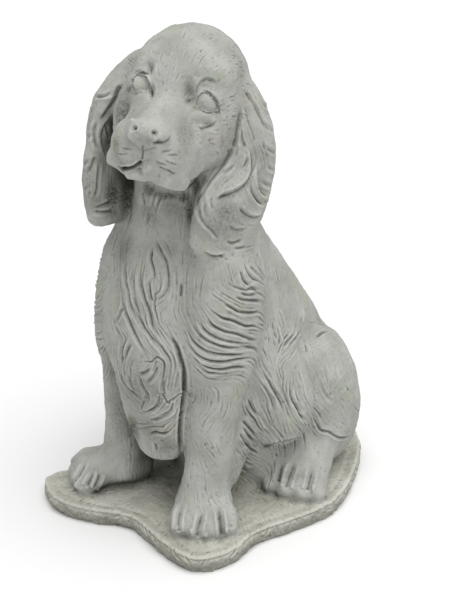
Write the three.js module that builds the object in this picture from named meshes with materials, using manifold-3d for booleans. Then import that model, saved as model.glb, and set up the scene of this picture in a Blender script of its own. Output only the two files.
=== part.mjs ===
// A seated spaniel garden figure in cast stone, on a lobed base.
// Millimetres, +Z up. The dog faces -Y and its left side is +X.
// The casting is divided where one carved form meets the next, with a fine gap at each joint.
import * as THREE from "three";
import { mergeVertices } from "three/addons/utils/BufferGeometryUtils.js";
import Module from "manifold-3d";

const wasm = await Module();
wasm.setup();

// Driving dimensions
const JOINT_GAP = 0.3; // between neighbouring forms, and between the figure and its base

const BASE_THICKNESS = 15;
const BASE_EDGE = 3.5; // rounding of the base's rim
const BASE_OUTLINE = [
  [-85, -131], [-48, -126], [-8, -110], [30, -120], [78, -126], [97, -99],
  [98, -58], [112, -20], [124, 25], [108, 90], [70, 152], [0, 178],
  [-66, 155], [-106, 95], [-122, 28], [-106, -30], [-104, -70], [-120, -108],
];

const SHOULDER_SPREAD = 53; // from the middle of the dog to each shoulder
const SHOULDER_FORWARD = 60; // from the figure's origin to the shoulders
const LEFT_STEP = [-9, -7]; // the left foot stands this far from below its shoulder, inwards and forwards
const RIGHT_STEP = [-3, 0];
const FOREPAW_TURN = 38; // degrees outwards
const LEFT_REACH = 45; // from the left foreleg to the tips of its toes
const RIGHT_REACH = 57; // the right paw is stretched further forward
const HAUNCH_SPREAD = 62; // from the middle of the dog to each thigh
const HINDPAW_OUT = 21; // from the thigh outwards to the hind paw
const HINDPAW_BACK = 30; // behind the figure's origin
const HINDPAW_TURN = 20; // degrees outwards
const HINDPAW_REACH = 36;
const TOE_RADIUS = 9.6;
const TOE_PITCH = 14;
const TOE_SETBACK = 4.5; // of each toe behind the one nearer the middle of the paw
const TOE_LENGTH = 30;

const HEAD_PLACE = [0.7, -32.5, 372]; // middle of the skull, from the figure's origin on top of the base
const HEAD_TURN = 25; // degrees towards the dog's left
const HEAD_NOD = 7.5; // degrees upwards
const HEAD_TILT = 10.5; // degrees, left ear down
const EYE_SPACING = 53;
const EYE_FORWARD = 49; // eyes and nose are measured from the middle of the skull
const EYE_HEIGHT = 10.5;
const EYE_RADIUS = 11.5;
const EYE_HALF_HEIGHT = 9.5;
const LID_THICKNESS = 2.4;
const LID_SETBACK = 3.5; // the lids lie this far behind the eyeball
const NOSE_REACH = 104;
const NOSE_DROP = 16;
const NOSE_WIDTH = 36;
const NOSE_HEIGHT = 26;
const NOSE_DEPTH = 25;
const NOSTRIL_SPACING = 16;
const NOSTRIL_RADIUS = 2.6;
const NOSTRIL_DEPTH = 4;
const NOSTRIL_INSET = 0.9; // from the tip of the nose back to the middle of the hollow

const EAR_LOCKS = 7; // carved locks round an ear
const CHEST_LOCKS = 7;
const COAT_LOCKS = 8; // round the torso
const LOCK_RELIEF = 2.2; // height of the locks on the ears and the chest
const COAT_RELIEF = 1.2;
const LOCK_SWAY = 1.5; // how far they wander sideways, in radians

// A section of a loft is [x, y, z, across, deep, turn]: the middle of an oval, its two half sizes
// and its turn in degrees.
// Heights are above the base. Forms in pairs are written for the dog's left and mirrored for its right.
const TORSO = [
  [0, 62, 0, 76, 84, 0], [0, 62, 35, 82, 90, 0], [0, 52, 75, 79, 94, 0], [0, 32, 115, 74, 95, 2],
  [0, 10, 155, 70, 87, 5], [0, -6, 195, 66, 76, 8], [0, -18, 230, 60, 63, 9], [0, -25, 260, 53, 52, 9],
  [0, -28, 283, 46, 46, 9],
];
const CHEST = [
  [2, -64, 250, 26, 15, 0], [-3, -77, 210, 47, 20, 0], [-4, -84, 170, 47, 23, 0],
  [-1, -84, 130, 37, 22, 0], [2, -82, 92, 31, 18, 0], [4, -80, 62, 23, 13, 0],
];
const TAIL = [
  [2, 138, 34, 13, 13, 0], [-6, 152, 22, 12, 12, 0], [-30, 158, 14, 11, 11, 0], [-56, 146, 11, 9, 9, 0],
];

// Sections of the foreleg and its fringe are measured from the line of the leg, which runs
// from the shoulder to the foot, and those of the shoulder from straight below it.
const SHOULDER = [
  [-15, 26, 262, 22, 28, 0], [-8, 20, 228, 30, 40, 0], [-5, 14, 194, 31, 41, 0], [-1, 8, 164, 28, 37, 0],
  [0, 4, 148, 26, 31, 0], [-2, 2, 132, 23.5, 26, 0],
];
const FORELEG = [
  [0, 4, 158, 23, 26, 0], [0, 2, 112, 21.5, 24, 0], [0, 0, 70, 19.5, 21, 0], [0, -1, 38, 20.5, 23, 0],
  [0, -5, 12, 24, 29, 0],
];
const FORELEG_FRINGE = [
  [2, 22, 128, 11, 16, 0], [3, 28, 95, 12, 20, 0], [4, 29, 60, 12, 20, 0], [3, 25, 28, 9, 14, 0],
];

// Sections of the thigh and the flank are measured outwards from the thigh.
const THIGH = [
  [-2, 90, 20, 35, 42, 0], [2, 80, 50, 41, 55, 0], [0, 72, 84, 42, 55, 0], [-6, 66, 117, 36, 47, 0],
];
const FLANK = [
  [4, 8, 70, 30, 30, 0], [6, 8, 92, 34, 34, 0], [0, 4, 122, 31, 36, 0], [-8, -2, 155, 26, 36, 0],
  [-20, -8, 192, 24, 34, 0],
];

// Insteps of the paws run from the heel to the toes.
const FOREPAW_INSTEP = [[0, 14, 17, 22, 18, 0], [0, -4, 21, 26, 21, 0], [0, -22, 16, 26, 16, 0]];
const HINDPAW_INSTEP = [
  [0, 80, 14, 18, 14, 0], [0, 44, 29, 24, 29, 0], [0, 8, 28, 29, 27, 0], [0, -16, 18, 28, 18, 0],
];
// Joints of a toe: sideways in toe pitches, back from the tip in toe lengths,
// then height and half sizes in toe radii.
const TOE_JOINTS = [[0.75, 1, 2, 0.9, 1], [1, 0.5, 1.65, 1, 1.15], [1.04, 0.14, 0.94, 0.9, 0.9]];

// The neck and the ears hang plumb below the middle of the skull, so they don't turn with the head.
const NECK = [
  [-2.5, 6.5, -114, 49, 47, 0], [-3.5, 2.5, -77, 46, 45, 0], [-3.5, 0.5, -42, 46, 43, 0],
  [-1, 2.5, -10, 40, 40, 0],
];
const LEFT_EAR = [
  [40, 22, 13, 12, 9, 0], [50, 22, -18, 21, 12, 0], [55, 12, -50, 27, 14, 0], [54, -11, -82, 36, 14, 0],
  [48, -24, -113, 28, 12, 0],
];
const LEFT_EAR_EDGE = [-0.25, -0.97, 0]; // the way that the ear's front edge faces
const RIGHT_EAR = [
  [-38, -14, 31, 12, 9, 0], [-49, -20, 17, 19, 11, 0], [-59, -30, -2, 29, 12, 0],
  [-61, -36, -32, 34, 12, 4], [-60, -38, -66, 36, 12, 14], [-53, -34, -97, 33, 12, 34],
];
const RIGHT_EAR_EDGE = [0.5, -0.87, 0];

// Sections of the head lie across its front-to-back line, from the middle of the skull,
// with the nose towards -Y.
const SKULL = [
  [0, 52, 2, 26, 31, 0], [0, 32, 6, 46, 52, 0], [0, 0, 5, 51, 58, 0], [0, -26, 4, 47, 53, 0],
  [0, -46, 6, 36, 41, 0], [0, -57, 6, 25, 29, 0],
];
// Those of the muzzle and the jaw are measured back from the nose.
const MUZZLE = [
  [0, 62, -14, 35, 34, 0], [0, 42, -20, 30, 28, 0], [0, 20, -25, 22, 20, 0], [0, 5, -24, 17, 17, 0],
];
const LEFT_FLEW = [
  [25, 64, -32, 13, 20, 0], [23, 42, -35, 14, 21, 0], [19, 21, -36, 14, 20, 0], [11, 5, -32, 11, 13, 0],
];
const RIGHT_FLEW = [
  [-25, 64, -32, 13, 20, 0], [-23, 42, -33, 14, 19, 0], [-19, 21, -32, 14, 17, 0], [-11, 5, -30, 11, 12, 0],
];
const JAW = [[-2, 70, -47, 24, 12, 0], [-5, 36, -50, 21, 9, 0], [-7, 14, -49, 17, 8.5, 0]];

// Rounded forms of the face: middle and half sizes.
const BROW = { middle: [20, -30, 26], half: [22, 24, 17] };
const CHEEK = { middle: [29, -25, -16], half: [22, 37, 35] };

// How each form is lofted: facets round it, steps between its sections, how square its ovals are
// and the heights of the domes that close it.
const LOFTS = {
  torso: { facets: 32, steps: 1, square: 2.3, domes: [6, 14] },
  neck: { facets: 16, steps: 1, domes: [10, 10] },
  tail: { facets: 12, domes: [10, 8] },
  skull: { domes: [9, 8] },
  muzzle: { facets: 14, square: 2.2, domes: [6, 6] },
  flew: { facets: 10, square: 2.4, domes: [8, 6] },
  jaw: { facets: 12, steps: 1, domes: [6, 6] },
  shoulder: { facets: 16, square: 2.5, domes: [14, 8] },
  foreleg: { facets: 16, steps: 1, domes: [12, 6] },
  fringe: { facets: 10, domes: [10, 8] },
  thigh: { facets: 16, domes: [12, 22] },
  flank: { facets: 14, domes: [12, 14] },
  instep: { facets: 10, domes: [10, 8] },
  toe: { facets: 7, steps: 1, domes: [TOE_RADIUS * 0.7, TOE_RADIUS * 0.6] },
  chest: { facets: 28, steps: 3, domes: [8, 8] },
  ear: { facets: 20, domes: [6, 12] },
};

// Loft of oval sections along a smooth line, closed by a dome at each end.
function loft(sections, options) {
  const { edge = [1, 0, 0], facets = 18, steps = 2, square = 2, domes, grow, relief = () => 0 } = options;
  const line = new THREE.CatmullRomCurve3(sections.map(([x, y, z]) => new THREE.Vector3(x, y, z)));
  const sizes = new THREE.CatmullRomCurve3(
    sections.map(([, , , across, deep, turn]) => new THREE.Vector3(across, deep, turn)),
  );
  const rounded = (value) => Math.sign(value) * Math.abs(value) ** (2 / square);
  const rings = [];
  const addRing = (share, shrink, along) => {
    const tangent = line.getTangent(share);
    const { x: across, y: deep, z: turn } = sizes.getPoint(share);
    const acrossAxis = new THREE.Vector3(...edge);
    acrossAxis.addScaledVector(tangent, -acrossAxis.dot(tangent)).normalize();
    acrossAxis.applyAxisAngle(tangent, THREE.MathUtils.degToRad(turn));
    const deepAxis = new THREE.Vector3().crossVectors(tangent, acrossAxis);
    const middle = line.getPoint(share).addScaledVector(tangent, along);
    const ring = [];
    for (let j = 0; j < facets; j++) {
      const angle = (j / facets) * 2 * Math.PI;
      const lift = grow + relief(angle, share);
      const point = middle.clone();
      point.addScaledVector(acrossAxis, (across + lift) * rounded(Math.cos(angle)) * shrink);
      point.addScaledVector(deepAxis, (deep + lift) * rounded(Math.sin(angle)) * shrink);
      ring.push(point);
    }
    rings.push(ring);
  };
  const domeAngles = [60, 30].map(THREE.MathUtils.degToRad);
  const [startDome, endDome] = domes.map((dome) => dome + grow);
  const count = (sections.length - 1) * steps;
  for (const angle of domeAngles) addRing(0, Math.cos(angle), -startDome * Math.sin(angle));
  for (let k = 0; k <= count; k++) addRing(k / count, 1, 0);
  for (const angle of domeAngles.toReversed()) addRing(1, Math.cos(angle), endDome * Math.sin(angle));
  const start = line.getPoint(0).addScaledVector(line.getTangent(0), -startDome);
  const end = line.getPoint(1).addScaledVector(line.getTangent(1), endDome);
  const points = [start, ...rings.flat(), end];
  const last = points.length - 1;
  const at = (k, j) => 1 + k * facets + (j % facets);
  const faces = [];
  for (let j = 0; j < facets; j++) {
    faces.push(0, at(0, j + 1), at(0, j), last, at(rings.length - 1, j), at(rings.length - 1, j + 1));
    for (let k = 0; k < rings.length - 1; k++) {
      faces.push(at(k, j), at(k, j + 1), at(k + 1, j + 1), at(k, j), at(k + 1, j + 1), at(k + 1, j));
    }
  }
  return new THREE.BufferGeometry().setFromPoints(points).setIndex(faces);
}

// Oval ball.
function oval(middle, half, grow, facets = 12) {
  return new THREE.SphereGeometry(1, facets, Math.round(facets * 0.6))
    .scale(...half.map((size) => size + grow))
    .translate(...middle);
}

const sided = ([x, ...rest], side) => [side * x, ...rest];
const paired = (sections, side) =>
  sections.map(([x, y, z, a, d, turn]) => [side * x, y, z, a, d, side * turn]);
const moved = (sections, [dx, dy, dz = 0]) =>
  sections.map(([x, y, z, ...rest]) => [x + dx, y + dy, z + dz, ...rest]);

// Closed geometry as a solid for joining and cutting.
function solid(geometry) {
  const bare = new THREE.BufferGeometry().setAttribute("position", geometry.getAttribute("position"));
  const merged = mergeVertices(bare.setIndex(geometry.getIndex()), 1e-3);
  return new wasm.Manifold(
    new wasm.Mesh({
      numProp: 3,
      vertProperties: new Float32Array(merged.getAttribute("position").array),
      triVerts: new Uint32Array(merged.getIndex().array),
    }),
  );
}

const join = (geometries) => geometries.map(solid).reduce((whole, next) => whole.add(next));

function geometryOf(body) {
  const mesh = body.getMesh();
  return new THREE.BufferGeometry()
    .setAttribute("position", new THREE.BufferAttribute(new Float32Array(mesh.vertProperties), 3))
    .setIndex(new THREE.BufferAttribute(new Uint32Array(mesh.triVerts), 1));
}

// Base: a slab whose outline swells into a lobe at each paw
const outline = new THREE.CatmullRomCurve3(
  BASE_OUTLINE.map(([x, y]) => new THREE.Vector3(x, y, 0)),
  true,
);
const baseShape = new THREE.Shape(
  outline.getPoints(BASE_OUTLINE.length * 3).map((point) => new THREE.Vector2(point.x, point.y)),
);
const baseSlab = new THREE.ExtrudeGeometry(baseShape, {
  depth: BASE_THICKNESS - 2 * BASE_EDGE,
  bevelThickness: BASE_EDGE,
  bevelSize: BASE_EDGE,
  bevelOffset: -BASE_EDGE,
  bevelSegments: 2,
}).translate(0, 0, BASE_EDGE - BASE_THICKNESS);
const footprint = new THREE.Box2().setFromPoints(baseShape.getPoints());
const spread = footprint.getSize(new THREE.Vector2()).multiplyScalar(2);
const ground = new THREE.BoxGeometry(spread.x, spread.y, BASE_THICKNESS);
ground.translate(0, 0, JOINT_GAP - BASE_THICKNESS / 2);

// Carved locks: ridges that run down a form and sway from side to side
const locks = (count, height) => (angle, share) => {
  const sway = LOCK_SWAY * Math.sin(2 * Math.PI * share);
  return height * Math.sin(Math.PI * share) * Math.sin(count * angle + sway);
};

// Trunk
const torsoForm = (grow) => [
  loft(TORSO, { ...LOFTS.torso, grow, relief: locks(COAT_LOCKS, COAT_RELIEF) }),
];
const neckForm = (grow) => [loft(moved(NECK, HEAD_PLACE), { ...LOFTS.neck, grow })];
const tailForm = (grow) => [loft(TAIL, { ...LOFTS.tail, grow })];

// Head
const headFrame = new THREE.Matrix4().compose(
  new THREE.Vector3(...HEAD_PLACE),
  new THREE.Quaternion().setFromEuler(
    new THREE.Euler(...[-HEAD_NOD, HEAD_TILT, HEAD_TURN].map(THREE.MathUtils.degToRad), "ZXY"),
  ),
  new THREE.Vector3(1, 1, 1),
);
const inHead = (geometry) => geometry.applyMatrix4(headFrame);
const eyePlace = (side) => [(side * EYE_SPACING) / 2, -EYE_FORWARD, EYE_HEIGHT];
const eyeForm = (side, grow) => [
  inHead(oval(eyePlace(side), [EYE_RADIUS, EYE_RADIUS, EYE_HALF_HEIGHT], grow)),
];
const lidForm = (side, grow) => {
  const [x, y, z] = eyePlace(side);
  const lid = EYE_RADIUS + LID_THICKNESS;
  return inHead(oval([x, y + LID_SETBACK, z], [lid, EYE_RADIUS, lid], grow));
};
const faceForm = ({ middle, half }, side, grow) => inHead(oval(sided(middle, side), half, grow, 10));
const headForm = (grow) => [
  inHead(loft(SKULL, { ...LOFTS.skull, grow })),
  ...[1, -1].flatMap((side) => [
    lidForm(side, grow),
    faceForm(BROW, side, grow),
    faceForm(CHEEK, side, grow),
  ]),
];
const behindNose = (sections) => moved(sections, [0, -NOSE_REACH]);
const muzzleForm = (grow) => [
  inHead(loft(behindNose(MUZZLE), { ...LOFTS.muzzle, grow })),
  ...[LEFT_FLEW, RIGHT_FLEW].map((flew) => inHead(loft(behindNose(flew), { ...LOFTS.flew, grow }))),
];
const jawForm = (grow) => [inHead(loft(behindNose(JAW), { ...LOFTS.jaw, grow }))];
const noseForm = (grow) => [
  inHead(oval([0, -NOSE_REACH, -NOSE_DROP], [NOSE_WIDTH / 2, NOSE_DEPTH / 2, NOSE_HEIGHT / 2], grow)),
];
const nostril = (side) => {
  const mouth = [(side * NOSTRIL_SPACING) / 2, NOSTRIL_INSET - NOSE_REACH - NOSE_DEPTH / 2, -NOSE_DROP];
  return inHead(oval(mouth, [NOSTRIL_RADIUS, NOSTRIL_DEPTH, NOSTRIL_RADIUS], 0, 8));
};

// Limbs
const shoulderPlace = (side) => [side * SHOULDER_SPREAD, -SHOULDER_FORWARD];
const footPlace = (side) => {
  const [x, y] = shoulderPlace(side);
  const [stepX, stepY] = side > 0 ? LEFT_STEP : RIGHT_STEP;
  return [x + stepX, y + stepY];
};
const alongLeg = (sections, side) => {
  const [x, y] = shoulderPlace(side);
  const [stepX, stepY] = side > 0 ? LEFT_STEP : RIGHT_STEP;
  const top = FORELEG[0][2];
  return paired(sections, side).map(([dx, dy, z, ...sizes]) => {
    const lean = 1 - z / top;
    return [x + dx + stepX * lean, y + dy + stepY * lean, z, ...sizes];
  });
};
const haunchPlace = (side) => [side * HAUNCH_SPREAD, 0];
const shoulderForm = (side, grow) => [
  loft(moved(paired(SHOULDER, side), shoulderPlace(side)), { ...LOFTS.shoulder, grow }),
];
const forelegForm = (side, grow) => [loft(alongLeg(FORELEG, side), { ...LOFTS.foreleg, grow })];
const fringeForm = (side, grow) => [loft(alongLeg(FORELEG_FRINGE, side), { ...LOFTS.fringe, grow })];
const thighForm = (side, grow) => [
  loft(moved(paired(THIGH, side), haunchPlace(side)), { ...LOFTS.thigh, grow }),
];
const flankForm = (side, grow) => [
  loft(moved(paired(FLANK, side), haunchPlace(side)), { ...LOFTS.flank, grow }),
];

// Paw: an instep and a fan of four toes, pointing to -Y before it is turned
function paw(place, turn, instep, reach, grow) {
  const forms = [loft(instep, { ...LOFTS.instep, grow })];
  for (const toe of [-1.5, -0.5, 0.5, 1.5]) {
    const tip = -reach + Math.abs(toe) * TOE_SETBACK;
    const joints = TOE_JOINTS.map(([sideways, back, ...radii]) => [
      toe * TOE_PITCH * sideways,
      tip + TOE_LENGTH * back,
      ...radii.map((radius) => radius * TOE_RADIUS),
      0,
    ]);
    forms.push(loft(joints, { ...LOFTS.toe, grow }));
  }
  const outward = new THREE.Matrix4().makeRotationZ(THREE.MathUtils.degToRad(turn));
  outward.setPosition(...place, 0);
  return forms.map((form) => form.applyMatrix4(outward));
}
const forepawForm = (side, grow) =>
  paw(footPlace(side), side * FOREPAW_TURN, FOREPAW_INSTEP, side > 0 ? LEFT_REACH : RIGHT_REACH, grow);
const hindpawForm = (side, grow) =>
  paw(
    [side * (HAUNCH_SPREAD + HINDPAW_OUT), HINDPAW_BACK],
    side * HINDPAW_TURN, HINDPAW_INSTEP, HINDPAW_REACH, grow,
  );

// Long hair
const chestForm = (grow) => [
  loft(CHEST, { ...LOFTS.chest, grow, relief: locks(CHEST_LOCKS, LOCK_RELIEF) }),
];
const earForm = (sections, edge, grow) => [
  loft(moved(sections, HEAD_PLACE), { ...LOFTS.ear, edge, grow, relief: locks(EAR_LOCKS, LOCK_RELIEF) }),
];

// Materials
const stone = (tint) => new THREE.MeshStandardMaterial({ color: tint, roughness: 0.92, metalness: 0 });
const paleStone = stone(0xaaaca3);
const weatheredStone = stone(0x8f9188);

// Assembly
const figure = new THREE.Group();
const head = new THREE.Group();
head.applyMatrix4(headFrame);
figure.add(head);
const centre = footprint.getCenter(new THREE.Vector2());
figure.position.set(-centre.x, -centre.y, BASE_THICKNESS);

function place(name, body, material, group) {
  const geometry = geometryOf(body);
  if (group === head) geometry.applyMatrix4(headFrame.clone().invert());
  const mesh = new THREE.Mesh(geometry, material);
  mesh.name = name;
  group.add(mesh);
}

// Forms are carved in order. Each one is cut back from those before it,
// and the largest body that is left is kept.
const carved = [solid(ground)];
function carve(name, form, { group = figure, material = paleStone, holes = [] } = {}) {
  const cuts = [...carved, ...holes.map(solid)];
  const whole = cuts.reduce((rest, next) => rest.subtract(next), join(form(0)));
  const bodies = whole.decompose();
  const largest = bodies.reduce((best, next) => (next.volume() > best.volume() ? next : best));
  place(name, largest, material, group);
  carved.push(join(form(JOINT_GAP)));
}

place("base", solid(baseSlab), weatheredStone, figure);
carve("torso", torsoForm);
carve("neck", neckForm);
carve("left_eye", (grow) => eyeForm(1, grow), { group: head });
carve("right_eye", (grow) => eyeForm(-1, grow), { group: head });
carve("head", headForm, { group: head });
carve("muzzle", muzzleForm, { group: head });
carve("nose", noseForm, { group: head, material: weatheredStone, holes: [nostril(1), nostril(-1)] });
carve("lower_jaw", jawForm, { group: head });
for (const [name, side] of [["left", 1], ["right", -1]]) {
  carve(`${name}_shoulder`, (grow) => shoulderForm(side, grow));
  carve(`${name}_foreleg`, (grow) => forelegForm(side, grow));
  carve(`${name}_forepaw`, (grow) => forepawForm(side, grow));
  carve(`${name}_thigh`, (grow) => thighForm(side, grow));
  carve(`${name}_flank`, (grow) => flankForm(side, grow));
  carve(`${name}_hindpaw`, (grow) => hindpawForm(side, grow));
  carve(`${name}_foreleg_fringe`, (grow) => fringeForm(side, grow));
}
carve("chest_feathering", chestForm);
carve("left_ear", (grow) => earForm(LEFT_EAR, LEFT_EAR_EDGE, grow));
carve("right_ear", (grow) => earForm(RIGHT_EAR, RIGHT_EAR_EDGE, grow));
carve("tail", tailForm);

export default figure;
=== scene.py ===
# %% [markdown]
# # A seated spaniel in cast stone
# The figure is one casting, poured in a mould and left to weather in a garden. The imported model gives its
# forms at their real size, divided at the creases. This lesson joins those forms into one clay-like skin,
# carves the face and the coat into it as a sculptor would, weathers it, and cuts it back into named pieces.

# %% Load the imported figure
import math

import bpy
import numpy as np
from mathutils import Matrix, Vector
from mathutils.bvhtree import BVHTree
from mathutils.kdtree import KDTree


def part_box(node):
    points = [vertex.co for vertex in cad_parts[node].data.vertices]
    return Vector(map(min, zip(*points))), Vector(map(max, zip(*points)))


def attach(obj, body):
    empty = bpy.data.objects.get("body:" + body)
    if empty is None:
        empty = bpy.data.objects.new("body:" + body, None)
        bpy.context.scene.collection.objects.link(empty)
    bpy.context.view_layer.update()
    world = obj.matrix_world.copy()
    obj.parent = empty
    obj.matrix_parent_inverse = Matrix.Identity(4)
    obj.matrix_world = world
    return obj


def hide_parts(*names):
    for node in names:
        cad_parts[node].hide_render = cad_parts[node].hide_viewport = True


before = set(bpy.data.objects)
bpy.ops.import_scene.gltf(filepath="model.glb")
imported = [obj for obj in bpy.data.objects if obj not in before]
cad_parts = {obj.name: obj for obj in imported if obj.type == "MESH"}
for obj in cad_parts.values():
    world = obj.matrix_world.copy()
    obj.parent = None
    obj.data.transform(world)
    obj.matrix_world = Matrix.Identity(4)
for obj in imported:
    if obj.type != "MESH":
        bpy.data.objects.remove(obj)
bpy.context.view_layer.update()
MM = 0.001  # the carving below is written in millimetres
DICE = np.random.default_rng(7)

# %% [markdown]
# ## The camera
# The photograph looks down on the dog from its left front. A camera was fitted to the base, the paws and the
# face, so it stands in real millimetres and everything that is carved can be aimed through it.

# %% Camera at the photograph's viewing angle
PHOTO_WIDTH, PHOTO_HEIGHT = 450, 600
FOCAL_PIXELS = 1157
VIEW_AZIMUTH, VIEW_ELEVATION = math.radians(38), math.radians(22.53)
VIEW_DISTANCE = 1050.2
DOG_FROM_BASE = np.array([-1.0, -23.2, 0.0])  # the dog's own middle, from the middle of the base's underside
AIM_FROM_DOG = np.array([15.5, 0.0, 199.0])

base_low, base_high = (np.array(corner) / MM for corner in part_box("base"))
base_top = base_high[2]
dog = np.array([*(base_low + base_high)[:2] / 2, base_low[2]]) + DOG_FROM_BASE
aim = dog + AIM_FROM_DOG
back = np.array([
    math.sin(VIEW_AZIMUTH) * math.cos(VIEW_ELEVATION),
    -math.cos(VIEW_AZIMUTH) * math.cos(VIEW_ELEVATION),
    math.sin(VIEW_ELEVATION),
])
eye = aim + VIEW_DISTANCE * back
right = np.array([math.cos(VIEW_AZIMUTH), math.sin(VIEW_AZIMUTH), 0])
up = np.cross(back, right)

camera_data = bpy.data.cameras.new("photo_camera")
camera_data.sensor_fit = "VERTICAL"
camera_data.sensor_height = 24
camera_data.lens = FOCAL_PIXELS / PHOTO_HEIGHT * camera_data.sensor_height
camera = bpy.data.objects.new("photo_camera", camera_data)
camera.location = eye * MM
camera.rotation_euler = Vector(-back).to_track_quat("-Z", "Y").to_euler()
bpy.context.scene.collection.objects.link(camera)
bpy.context.scene.camera = camera


def in_photo(points):
    """Pixels of the photograph at which points lie."""
    seen = points - eye
    ahead = -(seen @ back)
    across = seen @ right / ahead
    rise = seen @ up / ahead
    return np.stack([PHOTO_WIDTH / 2 + FOCAL_PIXELS * across, PHOTO_HEIGHT / 2 - FOCAL_PIXELS * rise], 1)


def inside_outline(places, outline):
    """Which places lie in a closed outline, and how far each is from it, both in pixels."""
    ends = np.roll(outline, -1, axis=0)
    crossings = np.zeros(len(places), dtype=int)
    away = np.full(len(places), np.inf)
    for (x0, y0), (x1, y1) in zip(outline, ends):
        spans = (places[:, 1] < y0) != (places[:, 1] < y1)
        if y0 != y1:
            crossings += spans & (places[:, 0] < x0 + (places[:, 1] - y0) / (y1 - y0) * (x1 - x0))
        edge = np.array([x1 - x0, y1 - y0])
        share = np.clip((places - [x0, y0]) @ edge / (edge @ edge), 0, 1)
        away = np.minimum(away, np.linalg.norm(places - [x0, y0] - share[:, None] * edge, axis=1))
    return crossings % 2 == 1, away


print("camera at", np.round(eye), "mm, lens", round(camera_data.lens, 1), "mm")

# %% [markdown]
# ## Roughing out
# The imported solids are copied, swollen by a hair so that they overlap, and remeshed into one even skin.
# A boolean union would keep every sharp seam, but here the seams are filled as a thumb fills wet clay: points
# that lie in a hollow are lifted towards their neighbours. One subdivision then gives points enough to carve.

# %% One skin from all the forms
SKIN_VOXEL = 1.8  # the spacing of the even skin, in millimetres
SKIN_SWELL = 0.45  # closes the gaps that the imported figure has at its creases


def mesh_points(mesh):
    """The points of a mesh, in millimetres."""
    flat = np.empty(len(mesh.vertices) * 3)
    mesh.vertices.foreach_get("co", flat)
    return flat.reshape(-1, 3) / MM


def mesh_faces(mesh, corners):
    """The faces of a mesh in which every face has that many corners."""
    flat = np.empty(len(mesh.loops), dtype=np.int64)
    mesh.loops.foreach_get("vertex_index", flat)
    return flat.reshape(-1, corners)


def new_object(name, points, *face_groups):
    """A mesh object from points in millimetres and arrays of faces, each with its own count of corners."""
    mesh = bpy.data.meshes.new(name)
    corners = np.concatenate([np.full(len(faces), faces.shape[1]) for faces in face_groups])
    loops = np.concatenate([faces.ravel() for faces in face_groups])
    mesh.vertices.add(len(points))
    mesh.vertices.foreach_set("co", (points * MM).ravel())
    mesh.loops.add(len(loops))
    mesh.loops.foreach_set("vertex_index", loops)
    mesh.polygons.add(len(corners))
    mesh.polygons.foreach_set("loop_start", np.cumsum(corners) - corners)
    mesh.update(calc_edges=True)
    piece = bpy.data.objects.new(name, mesh)
    bpy.context.scene.collection.objects.link(piece)
    return piece


def point_normals(points, faces):
    """Unit normals of the points of a mesh of triangles or of quads."""
    first, second, third, last = (points[faces[:, corner]] for corner in (0, 1, 2, -1))
    if faces.shape[1] == 4:
        flat = np.cross(third - first, last - second)
    else:
        flat = np.cross(second - first, third - first)
    normals = np.zeros_like(points)
    for corner in faces.T:
        for axis in range(3):
            normals[:, axis] += np.bincount(corner, flat[:, axis], len(points))
    return normals / np.maximum(np.linalg.norm(normals, axis=1, keepdims=True), 1e-9)


def merged(points, faces):
    """The same mesh, with the points that share a place made one."""
    _, first, back_to = np.unique(np.round(points, 3), axis=0, return_index=True, return_inverse=True)
    return points[first], back_to.reshape(-1)[faces]


cad_points, cad_faces, cad_owner = [], [], []
node_names = sorted(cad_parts)
count = 0
for number, name in enumerate(node_names):
    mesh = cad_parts[name].data
    points, faces = merged(mesh_points(mesh), mesh_faces(mesh, 3))
    cad_points.append(points)
    cad_faces.append(faces + count)
    cad_owner.append(np.full(len(faces), number))
    count += len(points)
cad_points, cad_faces, cad_owner = map(np.concatenate, (cad_points, cad_faces, cad_owner))
swollen = cad_points + SKIN_SWELL * point_normals(cad_points, cad_faces)


def even_skin(points, faces):
    """One closed skin of even quads round everything that the faces enclose."""
    rough = new_object("rough", points, faces)
    even = rough.modifiers.new("even", "REMESH")
    even.mode = "VOXEL"
    even.voxel_size = SKIN_VOXEL * MM
    mesh = bpy.data.meshes.new_from_object(rough.evaluated_get(bpy.context.evaluated_depsgraph_get()))
    bpy.data.objects.remove(rough)
    return mesh_points(mesh), mesh_faces(mesh, 4)


def owners(points):
    """The number of the node nearest to each point."""
    return np.array([cad_owner[cad_tree.find_nearest(point)[2]] for point in points.tolist()])


cad_tree = BVHTree.FromPolygons(cad_points.tolist(), cad_faces.tolist())
even_points, even_faces = even_skin(swollen, cad_faces)
print("even skin:", len(even_points), "points,", len(even_faces), "faces")

# %% [markdown]
# The seams are filled in many small rounds, so that a crease rises slowly and the forms beside it stay. How
# readily they fill differs: the paws and the base keep their edges, the flanks flow into one another. A
# second remesh then clears any fold before the whole is softened and subdivided.

# %% Fill the seams, soften and subdivide
FILL_ROUNDS = 54
FILL_STEP = 0.7  # the share of a hollow that one round fills
NORMALS_EVERY = 6  # rounds after which the way the skin faces is worked out again
SOFTEN_ROUNDS = 11
SOFTEN_STEP = 0.6
FILL = {  # how readily the seams of a form are filled, where it isn't 1
    "paw": 0.5, "lower_jaw": 0.1, "eye": 0.1, "nose": 0.8, "muzzle": 0.7, "base": 0.25, "ear": 0.8,
}
SOFTEN = {"base": 0.12, "paw": 0.5, "lower_jaw": 0.5, "nose": 0.6, "muzzle": 0.8}  # how far its edges soften


def neighbour_means(faces, count):
    """A function that gives, for each point, the mean of a value over its neighbours."""
    edges = np.concatenate([faces[:, [a, (a + 1) % 4]] for a in range(4)])
    degree = np.bincount(edges[:, 0], minlength=count)

    def mean(values):
        columns = values.reshape(count, -1).T
        sums = [np.bincount(edges[:, 0], column[edges[:, 1]], count) for column in columns]
        return (np.array(sums) / degree).T.reshape(values.shape)

    return mean


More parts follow.
